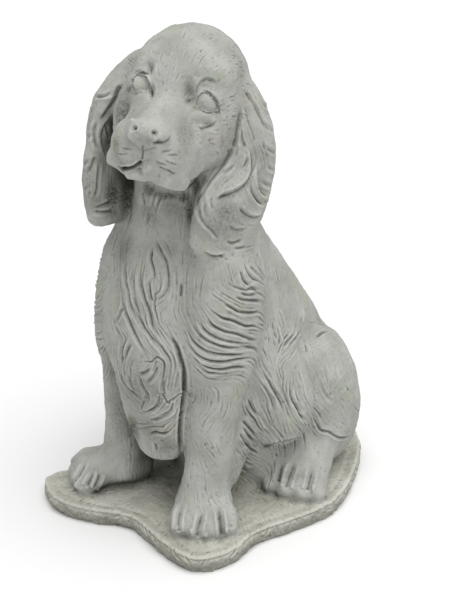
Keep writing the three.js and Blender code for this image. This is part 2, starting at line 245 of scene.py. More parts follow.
def subdivided(points, faces):
    """One step of smooth subdivision of a closed mesh of quads. Each quad gives four in turn."""
    count = len(points)
    starts, ends = faces.ravel(), np.roll(faces, -1, axis=1).ravel()
    keys = np.minimum(starts, ends) * count + np.maximum(starts, ends)
    keys, edge_of = np.unique(keys, return_inverse=True)
    edge_of = edge_of.reshape(faces.shape)
    edges = np.stack([keys // count, keys % count], 1)
    face_points = points[faces].mean(1)
    beside_edge = np.zeros((len(edges), 3))
    round_point = np.zeros_like(points)
    for axis in range(3):
        four_times = np.repeat(face_points[:, axis], 4)
        beside_edge[:, axis] = np.bincount(edge_of.ravel(), four_times, len(edges))
        round_point[:, axis] = np.bincount(starts, four_times, count)
    edge_ends = points[edges]
    edge_points = (edge_ends.sum(1) + beside_edge) / 4
    valence = np.bincount(starts, minlength=count)[:, None]
    middles = np.zeros_like(points)
    for side in edges.T:
        for axis in range(3):
            middles[:, axis] += np.bincount(side, edge_ends.mean(1)[:, axis], count)
    corners = (round_point / valence + 2 * middles / valence + (valence - 3) * points) / valence
    edge_numbers = edge_of + count
    middle_numbers = np.arange(len(faces))[:, None] + count + len(edges)
    quads = np.stack([
        faces, edge_numbers, np.broadcast_to(middle_numbers, faces.shape), np.roll(edge_numbers, 1, axis=1),
    ], 2)
    return np.vstack([corners, edge_points, face_points]), quads.reshape(-1, 4)


def by_form(shares, points):
    """A share for each point from the name of the node it lies on, 1 where none is given."""
    given = [next((share for part, share in shares.items() if part in name), 1.0) for name in node_names]
    return np.array(given)[owners(points)]


fill = FILL_STEP * by_form(FILL, even_points)
even_mean = neighbour_means(even_faces, len(even_points))
for turn in range(FILL_ROUNDS):
    if turn % NORMALS_EVERY == 0:
        even_normals = point_normals(even_points, even_faces)
    lift = ((even_mean(even_points) - even_points) * even_normals).sum(1)
    even_points += (fill * np.maximum(lift, 0))[:, None] * even_normals

even_points, even_faces = even_skin(even_points, even_faces)  # a second skin, free of any folds
soften = SOFTEN_STEP * by_form(SOFTEN, even_points)[:, None]
even_mean = neighbour_means(even_faces, len(even_points))
for _ in range(SOFTEN_ROUNDS):
    even_points += soften * (even_mean(even_points) - even_points)

# The bridge runs straight down into the nose with no seam, and the nose itself is a blunt, worn form: an
# outline in the photograph's pixels, and the rounds of smoothing inside it.
SEAMLESS = [
    ([(152, 96), (178, 92), (182, 108), (174, 127), (160, 127), (146, 125), (130, 122), (136, 108)], 200),
    ([(126, 119), (150, 120), (172, 124), (175, 138), (158, 147), (143, 151), (130, 143), (123, 132)], 30),
]
PATCH_DEPTH = 50.0  # how far behind its nearest point a patch still belongs to the front
PATCH_FADE = 4.0  # pixels from its outline at which a patch is smoothed almost fully
PATCH_STRENGTH = 0.85
FRONT_FACING = -0.2  # how far a point may turn from the camera and still belong to a patch
facing = np.flatnonzero(point_normals(even_points, even_faces) @ back > FRONT_FACING)
for outline, rounds in SEAMLESS:
    within, away = inside_outline(in_photo(even_points[facing]), np.array(outline, float))
    depth = (eye - even_points[facing]) @ back
    within &= depth < depth[within].min() + PATCH_DEPTH
    smoothed = np.zeros((len(even_points), 1))
    smoothed[facing[within], 0] = np.clip(away[within] / PATCH_FADE, 0, PATCH_STRENGTH)
    for _ in range(rounds):
        even_points += smoothed * (even_mean(even_points) - even_points)
even_owner = owners(even_points)

form, quads = subdivided(even_points, even_faces)
form_normals = point_normals(form, quads)
form_mean = neighbour_means(quads, len(form))
relief = np.zeros(len(form))  # height of the carving above the softened form
clay_tree = BVHTree.FromPolygons(even_points.tolist(), even_faces.tolist())
print("clay:", len(form), "points", "box", form.min(0).round(), form.max(0).round())

# %% [markdown]
# ## Carving tools
# A sculptor draws on the clay with a wire tool. Here a stroke is a line on the surface with a width, a height
# and a section, and it raises or lowers the points near it along the softened form's own normals.
# Strokes that show in the photograph are aimed through the camera: a point of the picture is sent as a ray
# until it meets the clay. Those on the hidden side are the same strokes mirrored across the dog.

# %% Lines on the clay
MIRROR_X = dog[0]  # the middle plane of the dog's body
LEAP = 7.0  # a traced line that leaps further than this has passed an edge, and is cut there


def smooth_line(knots, spacing):
    """Points about that far apart on a smooth line through the knots."""
    knots = np.asarray(knots, float)
    padded = np.vstack([2 * knots[0] - knots[1], knots, 2 * knots[-1] - knots[-2]])
    line = []
    for before, start, end, after in zip(padded, padded[1:], padded[2:], padded[3:]):
        steps = max(1, math.ceil(np.linalg.norm(end - start) / spacing))
        t = np.arange(steps)[:, None] / steps
        bend = 2 * before - 5 * start + 4 * end - after
        twist = -before + 3 * start - 3 * end + after
        line.append(start + 0.5 * ((end - before) * t + bend * t**2 + twist * t**3))
    return np.vstack([*line, knots[-1]])


def met_by_ray(pixel):
    """Where a point of the photograph lies on the clay, with the normal there, or None past its edge."""
    across, down = pixel
    ray = -FOCAL_PIXELS * back + (across - PHOTO_WIDTH / 2) * right + (PHOTO_HEIGHT / 2 - down) * up
    place, normal, _, _ = clay_tree.ray_cast(Vector(eye), Vector(ray).normalized())
    return place and (np.array(place), np.array(normal))


def longest_run(places, normals):
    """The longest part of a line that has no leap in it."""
    leaps = np.flatnonzero(np.linalg.norm(np.diff(places, axis=0), axis=1) > LEAP) + 1
    runs = np.split(np.arange(len(places)), leaps)
    run = max(runs, key=len)
    return (places[run], normals[run]) if len(run) > 1 else None


def traced(pixels):
    """A line on the clay through points of the photograph, as places and normals."""
    hits = [hit for hit in map(met_by_ray, smooth_line(pixels, 1.0)) if hit]
    return longest_run(*map(np.array, zip(*hits))) if len(hits) > 1 else None


def set_down(places):
    """The line laid on the nearest clay."""
    found = [clay_tree.find_nearest(place) for place in places.tolist()]
    return longest_run(np.array([hit[0] for hit in found]), np.array([hit[1] for hit in found]))


def mirrored(line):
    """The line on the other side of the dog."""
    return line and set_down(line[0] * [-1, 1, 1] + [2 * MIRROR_X, 0, 0])


def beside(line, offset):
    """A line that runs beside another, that many millimetres to its side."""
    places, normals = line
    sides = np.cross(normals, np.gradient(places, axis=0))
    sides /= np.maximum(np.linalg.norm(sides, axis=1, keepdims=True), 1e-9)
    return set_down(places + offset * sides)


print("mirror plane at x =", MIRROR_X, "mm")

# %% [markdown]
# A stroke changes only the points near it, so the points are sorted into cells once, and each stroke asks for
# those of the cells it touches. Its section says how it looks when cut across: a furrow, a soft roll, or a
# ledge where one form laps over another. The deepest ones also lay down painted shade with some dirt, which
# is noted for the finish.

# %% Strokes
CELL = 10.0
DIRT_AND_SHADE_HALF = 2.6  # half the width of a line of painted shade and dirt
DIRT_AND_SHADE_FADE = 1.25
VALLEY_SHARE, BANK_SHARE = 0.42, 0.58  # how a furrow's half width is shared by its valley and its bank
BANK_HEIGHT = 0.45
LEDGE_STEP, LEDGE_FOOT = 0.12, 0.7  # the width of a ledge's step, and the depth below it
SWELLING = 0.35  # height of the swellings beside a lock, as a share of its own
STROKE_FACING, DAB_FACING = 0.15, 0.1  # points that face another way are left alone
form_low = form.min(0)
cells = np.floor((form - form_low) / CELL).astype(np.int64)
cell_counts = cells.max(0) + 1
cell_keys = (cells[:, 2] * cell_counts[1] + cells[:, 1]) * cell_counts[0] + cells[:, 0]
cell_order = np.argsort(cell_keys, kind="stable")
sorted_keys = cell_keys[cell_order]


def points_in(low, high):
    """Numbers of the points in the cells that a box touches."""
    first = np.clip(np.floor((low - form_low) / CELL), 0, cell_counts - 1).astype(np.int64)
    last = np.clip(np.floor((high - form_low) / CELL), 0, cell_counts - 1).astype(np.int64)
    layers, rows = np.meshgrid(
        np.arange(first[2], last[2] + 1), np.arange(first[1], last[1] + 1), indexing="ij"
    )
    line_key = (layers.ravel() * cell_counts[1] + rows.ravel()) * cell_counts[0]
    starts = np.searchsorted(sorted_keys, line_key + first[0], "left")
    ends = np.searchsorted(sorted_keys, line_key + last[0], "right")
    return np.concatenate([cell_order[a:b] for a, b in zip(starts, ends)])


def eased(share):
    """0 to 1 with a soft start and a soft end."""
    share = np.clip(share, 0, 1)
    return share * share * (3 - 2 * share)


def roll(u):
    """A soft swelling."""
    return np.cos(np.pi / 2 * u) ** 2


def furrow(u):
    """A sharp valley between two low banks."""
    wide = np.abs(u)
    bank = BANK_HEIGHT * np.sin(np.pi * np.clip((wide - VALLEY_SHARE) / BANK_SHARE, 0, 1))
    return bank - np.maximum(0, 1 - wide / VALLEY_SHARE)


def ledge(u):
    """A form that laps over another: raised on the side above a line drawn to the right, sunk below it."""
    step = np.clip(u / LEDGE_STEP, -1, 1)
    return np.where(u > 0, step, LEDGE_FOOT * step) * (1 - np.abs(u)) ** 2


painted_shade_and_grime = np.zeros(len(form))  # painted shade, with some dirt, that strokes and patches leave in their hollows, from 0 to 1


def carve(line, half_width, height, section=furrow, taper=(0.25, 0.25), depth=9.0, dirt_and_shade=0.0):
    """Adds a stroke to the relief. taper is the share of its length over which each end fades."""
    if line is None:
        return
    places, normals = line
    pull = half_width + 1
    near = points_in(places.min(0) - pull, places.max(0) + pull)
    away = ((form[near][:, None, :] - places[None]) ** 2).sum(2)
    closest = away.argmin(1)
    close = away[np.arange(len(near)), closest] < (half_width + depth) ** 2
    near, closest = near[close], closest[close]
    tangents = np.gradient(places, axis=0)
    tangents /= np.maximum(np.linalg.norm(tangents, axis=1, keepdims=True), 1e-9)
    sides = np.cross(normals, tangents)
    offset = form[near] - places[closest]
    across = (offset * sides[closest]).sum(1) / half_width
    past = np.abs((offset * tangents[closest]).sum(1))
    rise = np.abs((offset * normals[closest]).sum(1))
    facing = (form_normals[near] * normals[closest]).sum(1)
    along = closest / max(1, len(places) - 1)
    fade = eased(along / max(taper[0], 1e-3)) * eased((1 - along) / max(taper[1], 1e-3))
    inside = (np.abs(across) < 1) & (rise < depth) & (facing > STROKE_FACING) & (past < half_width)
    relief[near[inside]] += height * fade[inside] * section(across[inside])
    # painted shade, with some dirt, along the stroke's valley
    if dirt_and_shade:
        held = dirt_and_shade * fade[inside] * eased(DIRT_AND_SHADE_FADE - np.abs(across[inside]) * half_width / DIRT_AND_SHADE_HALF)
        painted_shade_and_grime[near[inside]] = np.maximum(painted_shade_and_grime[near[inside]], held)


def dab(pixel, half_width, half_height, height, section=roll, turn=0.0, dirt_and_shade=0.0):
    """Raises or sinks an oval patch. Its sizes are in millimetres along and across its own turned axes."""
    hit = met_by_ray(pixel)
    if hit is None:
        return
    place, normal = hit
    reach = max(half_width, half_height)
    near = points_in(place - reach, place + reach)
    level = np.cross(normal, np.cross(right, normal))
    level /= np.linalg.norm(level)
    plumb = np.cross(normal, level)
    long_axis = math.cos(turn) * level + math.sin(turn) * plumb
    short_axis = math.cos(turn) * plumb - math.sin(turn) * level
    offset = form[near] - place
    wide = np.hypot(offset @ long_axis / half_width, offset @ short_axis / half_height)
    inside = (wide < 1) & (form_normals[near] @ normal > DAB_FACING)
    relief[near[inside]] += height * section(wide[inside])
    # painted shade, with some dirt, over the patch
    painted_shade_and_grime[near[inside]] = np.maximum(painted_shade_and_grime[near[inside]], dirt_and_shade * section(wide[inside]))


guide_places, guide_ways = [], []  # the lie of the hair along every lock


def lock(line, half_width, height):
    """A lock of hair: a deep furrow between two soft swellings. Its line also guides the comb later."""
    if line is None:
        return
    guide_places.append(line[0])
    guide_ways.append(np.gradient(line[0], axis=0))
    carve(line, half_width, height)
    for side in (-1, 1):
        carve(beside(line, side * half_width), half_width, SWELLING * height, roll)


def locks_on_both_sides(lines, half_width, height):
    """Locks along lines of the photograph, and the same ones on the dog's other side."""
    for line in lines:
        lock(traced(line), half_width, height)
        lock(mirrored(traced(line)), half_width, height)


def lap_over(folds, dirt_and_shade, taper=(0.15, 0.2)):
    """Forms that lap over one another, each given by its line, half width and height."""
    for line, half_width, height in folds:
        carve(traced(line), half_width, height, ledge, taper, dirt_and_shade=dirt_and_shade)


def raise_planes(planes):
    """Oval patches, each given by its place, half width, half height and height."""
    for place, half_width, half_height, height in planes:
        dab(place, half_width, half_height, height)


def darken(shades):
    """Painted shade on oval patches, each given by its place, half width, half height and how dark it is."""
    for place, half_width, half_height, dirt_and_shade in shades:
        dab(place, half_width, half_height, height=0, dirt_and_shade=dirt_and_shade)


print("cells:", cell_counts)

# %% [markdown]
# ## The face
# The spaniel has blank, smooth eyes under a double line of lids, a straight ridge of nose and heavy lips.
# The eyeballs are true balls that show through almond openings. The lids, bags and folds round them are rolls
# and furrows, and the sockets are sunk, because it is their shadow that makes the dog look at you.

# %% Eyes
EYEBALL = 11.5
EYE_MARGIN = 8.0  # how far round an eye's own box its lids reach
LID_HEIGHT = 1.8
LID_PIXELS, RIM_PIXELS, BALL_PIXELS, RING_PIXELS = 3.6, 1.0, 1.6, 0.8  # widths in the photograph
RING_SHADE = 0.6  # painted shade: the dark line round the ball
BALL_SINK = 0.2
RIM_KEEPS = 0.3  # the share of the face's relief that is left at the rim of an opening
OPENINGS = {  # the outlines between the lids, in the photograph's pixels
    "right_eye": [
        (133, 86), (133.5, 80), (137, 76), (142, 75.5), (147, 77.5), (149, 84), (148, 90), (140, 91),
        (135, 90),
    ],
    "left_eye": [
        (196, 104), (198.5, 96), (203, 93), (209, 95.5), (214, 101), (217, 108), (211, 110.5), (202, 109),
    ],
}

# The planes of the face: place, half width and half height in mm, and height.
FACE_PLANES = [
    ((124, 110), 10, 24, -4.0),
    ((147, 115), 17, 14, 2.6),
    ((147, 140), 15, 8, 2.2),
    ((149, 68), 7, 11, -3.2),
    ((189, 91), 10, 15, -4.5),
    ((152, 92), 4, 10, -2.6),
    ((141, 96), 11, 6, 2.2),
    ((203, 116), 12, 7, 3.4),
    ((209, 125), 8, 5, -1.8),
    ((208, 69), 17, 9, 2.4),
    ((138, 64), 12, 8, 1.8),
    ((184, 120), 8, 22, -1.6),
]
raise_planes(FACE_PLANES)
# Painted shade on the face: place, half width and half height in mm, and how dark.
FACE_SHADE = [
    ((191, 92), 10, 14, 0.5), ((204, 85), 10, 4, 0.45), ((150, 68), 6, 9, 0.5), ((151, 88), 4, 9, 0.5),
    ((128, 89), 8, 5, 0.6), ((210, 124), 9, 4, 0.5), ((222, 142), 7, 18, 0.4), ((186, 130), 10, 26, 0.4),
    ((210, 142), 16, 24, 0.2), ((138, 86), 12, 12, 0.15), ((120, 114), 17, 36, 0.75),
    ((115, 145), 13, 16, 0.55), ((147, 138), 18, 11, 0.4), ((184, 140), 15, 32, 0.45),
]
darken(FACE_SHADE)
BRIDGE = [(177, 52), (176, 70), (172, 88), (166, 100), (159, 110), (150, 119), (146, 126)]
carve(traced(BRIDGE), half_width=15, height=3.0, section=roll, taper=(0.5, 0.2))
VALLEY = [(190, 96), (192, 112), (194, 130), (193, 152)]
carve(traced(VALLEY), half_width=8, height=-2.4, section=roll, taper=(0.1, 0.3))
# One form lapping over another, drawn so that the upper one lies above the line: line, half width, height.
BROW_FOLDS = [
    ([(195, 95), (197, 87), (201, 81), (206, 78.5), (212, 79.5), (219, 84)], 7, 1.4),
    ([(132, 79), (135, 73), (140, 70.5), (146, 71.5), (149, 74.5)], 5, 1.0),
    ([(126, 93), (129, 89), (133, 84)], 4, 1.2),
    ([(196, 107), (202, 112.5), (208, 114), (215, 112.5), (220, 117)], 4, -1.4),
    ([(198, 128), (205, 127), (212, 124), (217, 119)], 5, 1.6),
]
# Painted shade: the folds and lid lines darken their creases as shadow would.
lap_over(BROW_FOLDS, dirt_and_shade=0.35)
LID_LINES = [
    [(134, 77.5), (138, 74), (142, 73), (147, 74.5)],
    [(200, 91), (206, 92), (212, 96), (216.5, 102), (218.5, 109), (220.5, 117)],
    [(148, 79), (150, 88), (151.5, 96)],
]
for line in LID_LINES:
    carve(traced(line), half_width=2.6, height=2.2, dirt_and_shade=0.6)
eyeball_skin = np.zeros(len(form))

for name, opening in OPENINGS.items():
    low, high = (np.array(corner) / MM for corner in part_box(name))
    middle = (low + high) / 2
    near = points_in(low - EYE_MARGIN, high + EYE_MARGIN)
    near = near[form_normals[near] @ back > 0.1]
    within, away = inside_outline(in_photo(form[near]), smooth_line(opening + opening[:1], 1.0)[:-1])
    rise = EYEBALL - np.linalg.norm(form[near] - middle, axis=1)
    print(name, "rise", np.percentile(rise[within], [0, 50, 100]).round(2), "points", within.sum())
    lid = np.where(within, 0, LID_HEIGHT * roll(np.clip(away / LID_PIXELS, 0, 1)))
    rim = eased(away / RIM_PIXELS)
    eyeball_skin[near] = within * eased(away / BALL_PIXELS)
    # Painted shade in a ring round the ball.
    painted_shade_and_grime[near] = np.maximum(painted_shade_and_grime[near], RING_SHADE * eased(1.5 - away / RING_PIXELS))
    ball = (rise - BALL_SINK) * rim + (1 - rim) * relief[near] * RIM_KEEPS
    relief[near] = np.where(within, ball, relief[near] + lid)
print("eyes carved, relief", relief.min().round(2), relief.max().round(2))

# %% [markdown]
# The nose is a blunt pad with round nostrils, worn by the weather. Below it a groove parts the upper lip,
# which hangs over the lower jaw. A lip is made as a ledge, because it casts a sharp line of shadow, and the
# hanging lip on the dog's left is swollen first so that the ledge has something to lap over.

# %% Nose and mouth
# Painted shade: the nostrils, the hollow by the nose's wing, the mouth line, the lip's edge and the whisker
# creases are darkened as shadow in them.
NOSTRILS = [(134, 128), (154.5, 133)]
for nostril in NOSTRILS:
    dab(nostril, half_width=3.8, half_height=3.2, height=-3.5, dirt_and_shade=0.8)
NOSE_WINGS = [((131, 135), 5, 7, 1.2), ((161, 135), 7, 5, 1.6)]
raise_planes(NOSE_WINGS)
NOSE_EDGES = [
    ([(126, 132), (130, 139), (136, 145), (143, 149), (150, 148.5), (158, 146)], 6, 2.2),
    ([(152, 141), (158, 142.5), (165, 140.5), (171, 135)], 6, 3.0),
]
lap_over(NOSE_EDGES, dirt_and_shade=0.6, taper=(0.15, 0.15))
PHILTRUM = [(143, 144), (143, 151), (142, 160)]
carve(traced(PHILTRUM), half_width=2.2, height=1.4, taper=(0.2, 0.1), dirt_and_shade=0.25)
WING_HOLLOW = (158, 141.5)
dab(WING_HOLLOW, half_width=5, half_height=3, height=-3.0, dirt_and_shade=0.9)
RIGHT_FLEW = (115, 159)
dab(RIGHT_FLEW, half_width=13, half_height=9, height=6.5)
RIGHT_LIP = [(109, 165.5), (114, 166), (120, 166.5), (128, 164.5), (135, 162.5), (142, 160)]
carve(traced(RIGHT_LIP), half_width=10, height=3.4, section=ledge, taper=(0.2, 0.12))
MOUTH = [(111, 167.5), (115, 168), (121, 168), (129, 166), (136, 163.5), (142, 161)]
carve(traced(MOUTH), half_width=4.4, height=3.6, taper=(0.15, 0.12), dirt_and_shade=1.0)
LOWER_LIP = [(112, 173), (120, 174), (128, 174), (136, 173), (142, 171)]
carve(traced(LOWER_LIP), half_width=7, height=3.0, section=roll)
LEFT_LIP = [(143, 162), (148, 172), (155, 179), (163, 183.5), (174, 187), (184, 188), (191, 184), (198, 176)]
LEFT_LIP_SHORT = [(145, 160), (150, 169), (157, 175.5), (165, 179.5), (175, 182.5), (184, 183), (190, 179)]
carve(traced(LEFT_LIP_SHORT), half_width=11, height=6.0, section=roll, taper=(0.15, 0.2))
carve(traced(LEFT_LIP), half_width=8, height=3.0, section=ledge, taper=(0.1, 0.2), dirt_and_shade=0.6)
WHISKER_CREASES = [
    [(160, 152), (166, 151.5), (173, 150)],
    [(166, 156), (173, 155), (180, 155.5)],
    [(154, 161), (162, 164), (168, 165.5)],
    [(164, 161), (172, 163.5), (179, 166)],
    [(157, 166), (164, 169), (172, 173)],
    [(166, 168), (171, 172), (177, 174)],
    [(120, 148), (127, 149), (133, 149)],
    [(114, 153), (122, 154.5), (130, 153)],
]
for line in WHISKER_CREASES:
    carve(traced(line), half_width=2.0, height=0.9, dirt_and_shade=0.3)
print("nose and mouth carved")

# %% [markdown]
# ## The coat
# A spaniel's ears, chest and legs hang in wavy locks. The main ones of the photograph are drawn as deep
# furrows between soft swellings, and finer strokes are combed in later, as a toothed tool would leave them.
# Displacing the skin by a noise would be quicker, but drawn lines can follow the way each lock falls.
# The ears come first. They are heavy flaps whose folds lap over one another, so most of their lines are
# ledges, and their outer edges are notched where locks end. Painted shade darkens the places where the figure
# shades itself.

# %% Ears
LEFT_EAR_FOLDS = [  # line, half width and height: the form on the left of a line's way laps over the other
    ([(243, 103), (240, 120), (236, 143), (226, 163), (212, 180), (200, 200), (192, 215), (193, 236)],
     9, 3.0),
    ([(213, 201), (221, 195), (231, 191.5), (240, 187), (247, 180), (250.5, 171), (250, 158), (247, 146)],
     12, 4.2),
    ([(219, 242), (211, 232), (203, 224), (198, 214), (199, 204)], 8, 2.6),
    ([(204, 251), (214, 255), (226, 254)], 6, 2.6),
    ([(240, 206), (245, 212), (251, 215.5), (257, 216), (263, 212)], 8, 2.8),
    ([(269, 199), (263, 195), (258.5, 188), (257, 178), (258, 168)], 9, 2.4),
    ([(230, 225), (235, 228.5), (241, 228.5), (248, 225)], 6, 2.0),
    ([(272, 132), (264, 122), (257, 108), (250, 96), (243, 87)], 9, -1.8),
    ([(255, 143), (251, 132), (247, 121), (243, 106)], 7, 2.2),
    ([(247, 147), (243, 139), (240.5, 126)], 6, -1.8),
]
LEFT_EAR_LINES = [
    [(235, 143), (236.5, 150), (236, 158)],
    [(245, 150), (247, 157), (245, 165), (242, 169)],
    [(234, 164), (229, 170), (222, 175)],
    [(228, 168), (218, 174), (210, 184), (204, 194), (202, 205)],
    [(212, 196), (211, 203), (213, 209)],
    [(206, 200), (205, 211), (208, 219)],
    [(225, 240), (232, 243), (243, 239)],
    [(233, 248), (240, 248), (247, 246)],
    [(262, 140), (266, 153), (268, 168)],
    [(250, 182), (253, 194), (260, 203), (267, 204)],
]
# Painted shade along the creases of the ear's folds.
lap_over(LEFT_EAR_FOLDS, dirt_and_shade=0.25)
for line in LEFT_EAR_LINES:
    lock(traced(line), half_width=3.6, height=1.1)
RIGHT_EAR_FOLDS = [
    ([(134, 79), (126, 83), (118, 87), (114, 97), (106, 110), (98, 121)], 9, -2.6),
    ([(117, 97), (115.5, 109), (110, 117), (103, 127), (100.5, 136), (102, 148), (105, 158), (105, 168)],
     8, -2.8),
    ([(111, 122), (112, 131), (110, 139), (107, 142)], 6, -1.8),
    ([(94, 156), (91, 164), (87, 172)], 7, -2.4),
    ([(112, 199), (104, 203), (94, 207)], 8, -2.6),
]
RIGHT_EAR_LINES = [
    [(107, 124), (107, 132), (109, 138)],
    [(98, 120), (94, 131), (95, 143), (99, 150)],
    [(99, 160), (98, 175), (97, 190), (94, 200)],
    [(92, 211), (104, 212), (116, 209)],
    [(94, 97), (104, 96), (112, 92)],
]
# Painted shade along the creases of the ear's folds.
lap_over(RIGHT_EAR_FOLDS, dirt_and_shade=0.45)
for line in RIGHT_EAR_LINES:
    lock(traced(line), half_width=3.8, height=1.6)
EAR_NOTCHES = [  # where the locks end along the outer edges of the ears
    [(261, 101), (267, 108), (274, 117)], [(264, 121), (269, 127), (276, 134)],
    [(261, 142), (268, 149), (277, 154)], [(265, 163), (270, 168), (277, 171)],
    [(258, 178), (266, 184), (275, 187)], [(257, 197), (263, 201), (271, 202)],
    [(95, 107), (90, 112), (83, 119)], [(93, 133), (87, 138), (81, 145)],
    [(91, 158), (86, 162), (80, 168)], [(92, 183), (87, 187), (80, 191)],
]
for line in EAR_NOTCHES:
    carve(traced(line), half_width=5.0, height=1.3, taper=(0.7, 0.02))
# Painted shade where the figure shades itself: place, half width, half height, how dark.
PAINTED_SHADE_PLACES = [
    ((112, 195), 16, 28, 1.0), ((126, 200), 18, 26, 1.0), ((112, 212), 18, 12, 0.7),
    ((132, 186), 24, 11, 0.95), ((150, 190), 18, 10, 0.9), ((168, 196), 22, 8, 0.9),
    ((184, 198), 12, 10, 0.9), ((228, 222), 42, 38, 0.5), ((262, 160), 18, 46, 0.4),
    ((90, 188), 20, 38, 0.42), ((124, 250), 24, 34, 0.4), ((118, 412), 18, 52, 0.5),
    ((172, 208), 24, 22, 0.5), ((227, 214), 26, 24, 0.6), ((113, 375), 14, 60, 0.5),
    ((95, 202), 18, 14, 0.45), ((138, 390), 40, 50, 0.45), ((150, 215), 30, 22, 0.4),
    ((133, 428), 16, 30, 0.8), ((112, 390), 14, 60, 0.4), ((150, 430), 28, 28, 0.5),
    ((168, 446), 24, 20, 0.55), ((268, 445), 10, 7, 1.0), ((196, 186), 6, 20, 0.95),
    ((189, 210), 6, 24, 0.95),
]
darken(PAINTED_SHADE_PLACES)
print("ears carved")

# %% [markdown]
# The hair of the chest hangs in one long tongue between the forelegs. Its locks are S-shaped lines that run
# into each other, and a deep crease on the dog's left parts it from the leg.

# %% Chest
CHEST_LINES = [
    [(157, 190), (154, 200), (152, 210)],
    [(162, 195), (158, 203), (154, 213)],
    [(142, 190), (144, 198), (145, 206)],
    [(150, 212), (147, 224)],
    [(155, 233), (157, 243), (161, 252), (166, 262), (168, 274), (168, 284), (166, 292),
     (162, 297), (155, 301)],
    [(153, 245), (151, 258), (154, 270), (155, 282)],
    [(149, 278), (149, 288), (151, 298), (155, 301)],
    [(181, 283), (181, 290), (180, 298)],
    [(127, 258), (125, 272), (127, 284), (128, 292)],
    [(136, 258), (133, 274), (133, 290), (136, 304), (141, 318), (150, 335), (163, 350), (170, 362),
     (168, 380)],
    [(125, 262), (128, 285), (131, 305), (142, 325), (150, 340)],
    [(143, 262), (141, 280), (144, 296), (150, 312), (153, 326), (160, 338)],
    [(122, 292), (126, 312), (133, 330), (140, 344), (148, 356)],
    [(113, 316), (116, 326), (120, 335)],
    [(125, 306), (120, 316), (117, 322)],
    [(124, 343), (122, 353), (122, 364)],
    [(131, 343), (127, 352), (123, 362)],
    [(120, 372), (125, 383), (133, 392), (141, 400)],
    [(129, 374), (131, 383), (136, 392)],
    [(139, 374), (142, 385), (147, 394), (147, 400), (143, 406)],
    [(138, 374), (146, 372), (151, 367)],
    [(146, 384), (154, 375), (158, 364)],
    [(147, 412), (153, 409), (158, 404), (161, 396)],
    [(148, 420), (156, 419), (165, 415), (171, 411), (174, 403)],
    [(165, 378), (163, 388), (166, 398)],
    [(147, 435), (155, 432), (164, 433), (170, 428)],
    [(155, 443), (157, 451)],
]
for line in CHEST_LINES:
    lock(traced(line), half_width=4.4, height=1.6)
CHEST_CREASE = [
    (163, 330), (175, 343), (181, 360), (184, 372), (184, 388), (182, 405), (180, 425), (180, 445),
    (182, 462),
]
# Painted shade along the crease.
carve(traced(CHEST_CREASE), half_width=5.0, height=3.0, taper=(0.2, 0.1), dirt_and_shade=0.7)
print("chest carved")

# %% [markdown]
# Over the shoulder the hair sweeps back in a mantle of long, nearly level curves. The hidden shoulder has
# the same curves mirrored, only much shallower, because nothing shows how deep they are there.

# %% Shoulder mantle
MANTLE_LINES = [
    [(244, 262), (247, 272), (253, 279), (259, 281)],
    [(250, 266), (255, 272), (259, 277)],
    [(240, 270), (243, 280), (250, 286)],
    [(246, 289), (252, 288.5), (258, 291)],
    [(240, 293), (247, 295), (256, 294)],
    [(234, 296), (241, 299), (250, 300), (258, 301), (262, 303)],
    [(222, 303), (232, 308), (240, 312), (250, 313), (258, 312), (262, 315)],
    [(214, 313), (222, 318), (233, 321), (245, 326), (253, 326), (261, 328)],
    [(205, 316), (212, 325), (224, 331), (237, 334), (250, 339), (260, 340)],
    [(198, 318), (205, 330), (217, 338), (230, 342), (243, 343), (251, 342)],
    [(190, 315), (195, 328), (204, 338), (216, 344), (230, 347), (245, 347), (254, 348),
     (258, 354), (260, 363)],
    [(187, 330), (194, 342), (205, 350), (218, 354), (235, 355), (247, 354)],
    [(185, 337), (192, 349), (201, 357), (212, 361), (225, 361), (238, 359), (250, 359), (256, 365)],
    [(190, 353), (199, 362), (208, 367), (220, 369), (235, 367), (247, 368), (253, 373)],
    [(195, 361), (204, 369), (210, 372), (222, 372)],
]
for line in MANTLE_LINES:
    lock(traced(line), half_width=3.4, height=1.7)
    lock(mirrored(traced(line)), half_width=4.0, height=0.35)
print("mantle carved")

# %% [markdown]
# Short locks hang from the flank to the stifle, the dog's knee, and the thigh behind them is almost smooth.
# The hair ends in an edge above the hind paw, made as a ledge so that it casts a shadow.

# %% Flank, stifle and thigh
FLANK_LINES = [
    [(256, 238), (257, 250), (259, 262)],
    [(268, 268), (269, 280)],
    [(276, 270), (278, 282)],
    [(282, 268), (284, 280)],
    [(279, 310), (282, 320), (284, 329)],
    [(301, 306), (302, 315), (301, 323)],
    [(272, 320), (274, 332), (277, 342)],
    [(276, 326), (279, 338), (279, 346)],
    [(296, 325), (292, 336), (287, 342), (282, 348)],
    [(301, 329), (295, 338), (288, 347)],
    [(266, 328), (267, 340)],
    [(316, 338), (322, 333), (329, 331)],
    [(305, 344), (307, 353)],
    [(262, 370), (268, 381), (275, 393), (280, 402), (284, 413)],
    [(261, 381), (266, 388), (271, 397), (273, 405), (276, 414)],
    [(268, 377), (272, 388), (278, 397)],
    [(291, 384), (291, 395), (296, 407), (304, 414)],
    [(298, 370), (303, 390), (306, 400), (313, 409)],
    [(294, 400), (298, 412), (306, 421)],
    [(300, 407), (308, 412), (314, 418), (317, 424), (321, 430), (329, 432), (335, 436),
     (342, 438), (349, 435), (353, 427)],
]
locks_on_both_sides(FLANK_LINES, half_width=3.8, height=1.5)
FLANK_EDGE = [(262, 445), (270, 443.5), (284, 440), (297, 437), (310, 433)]
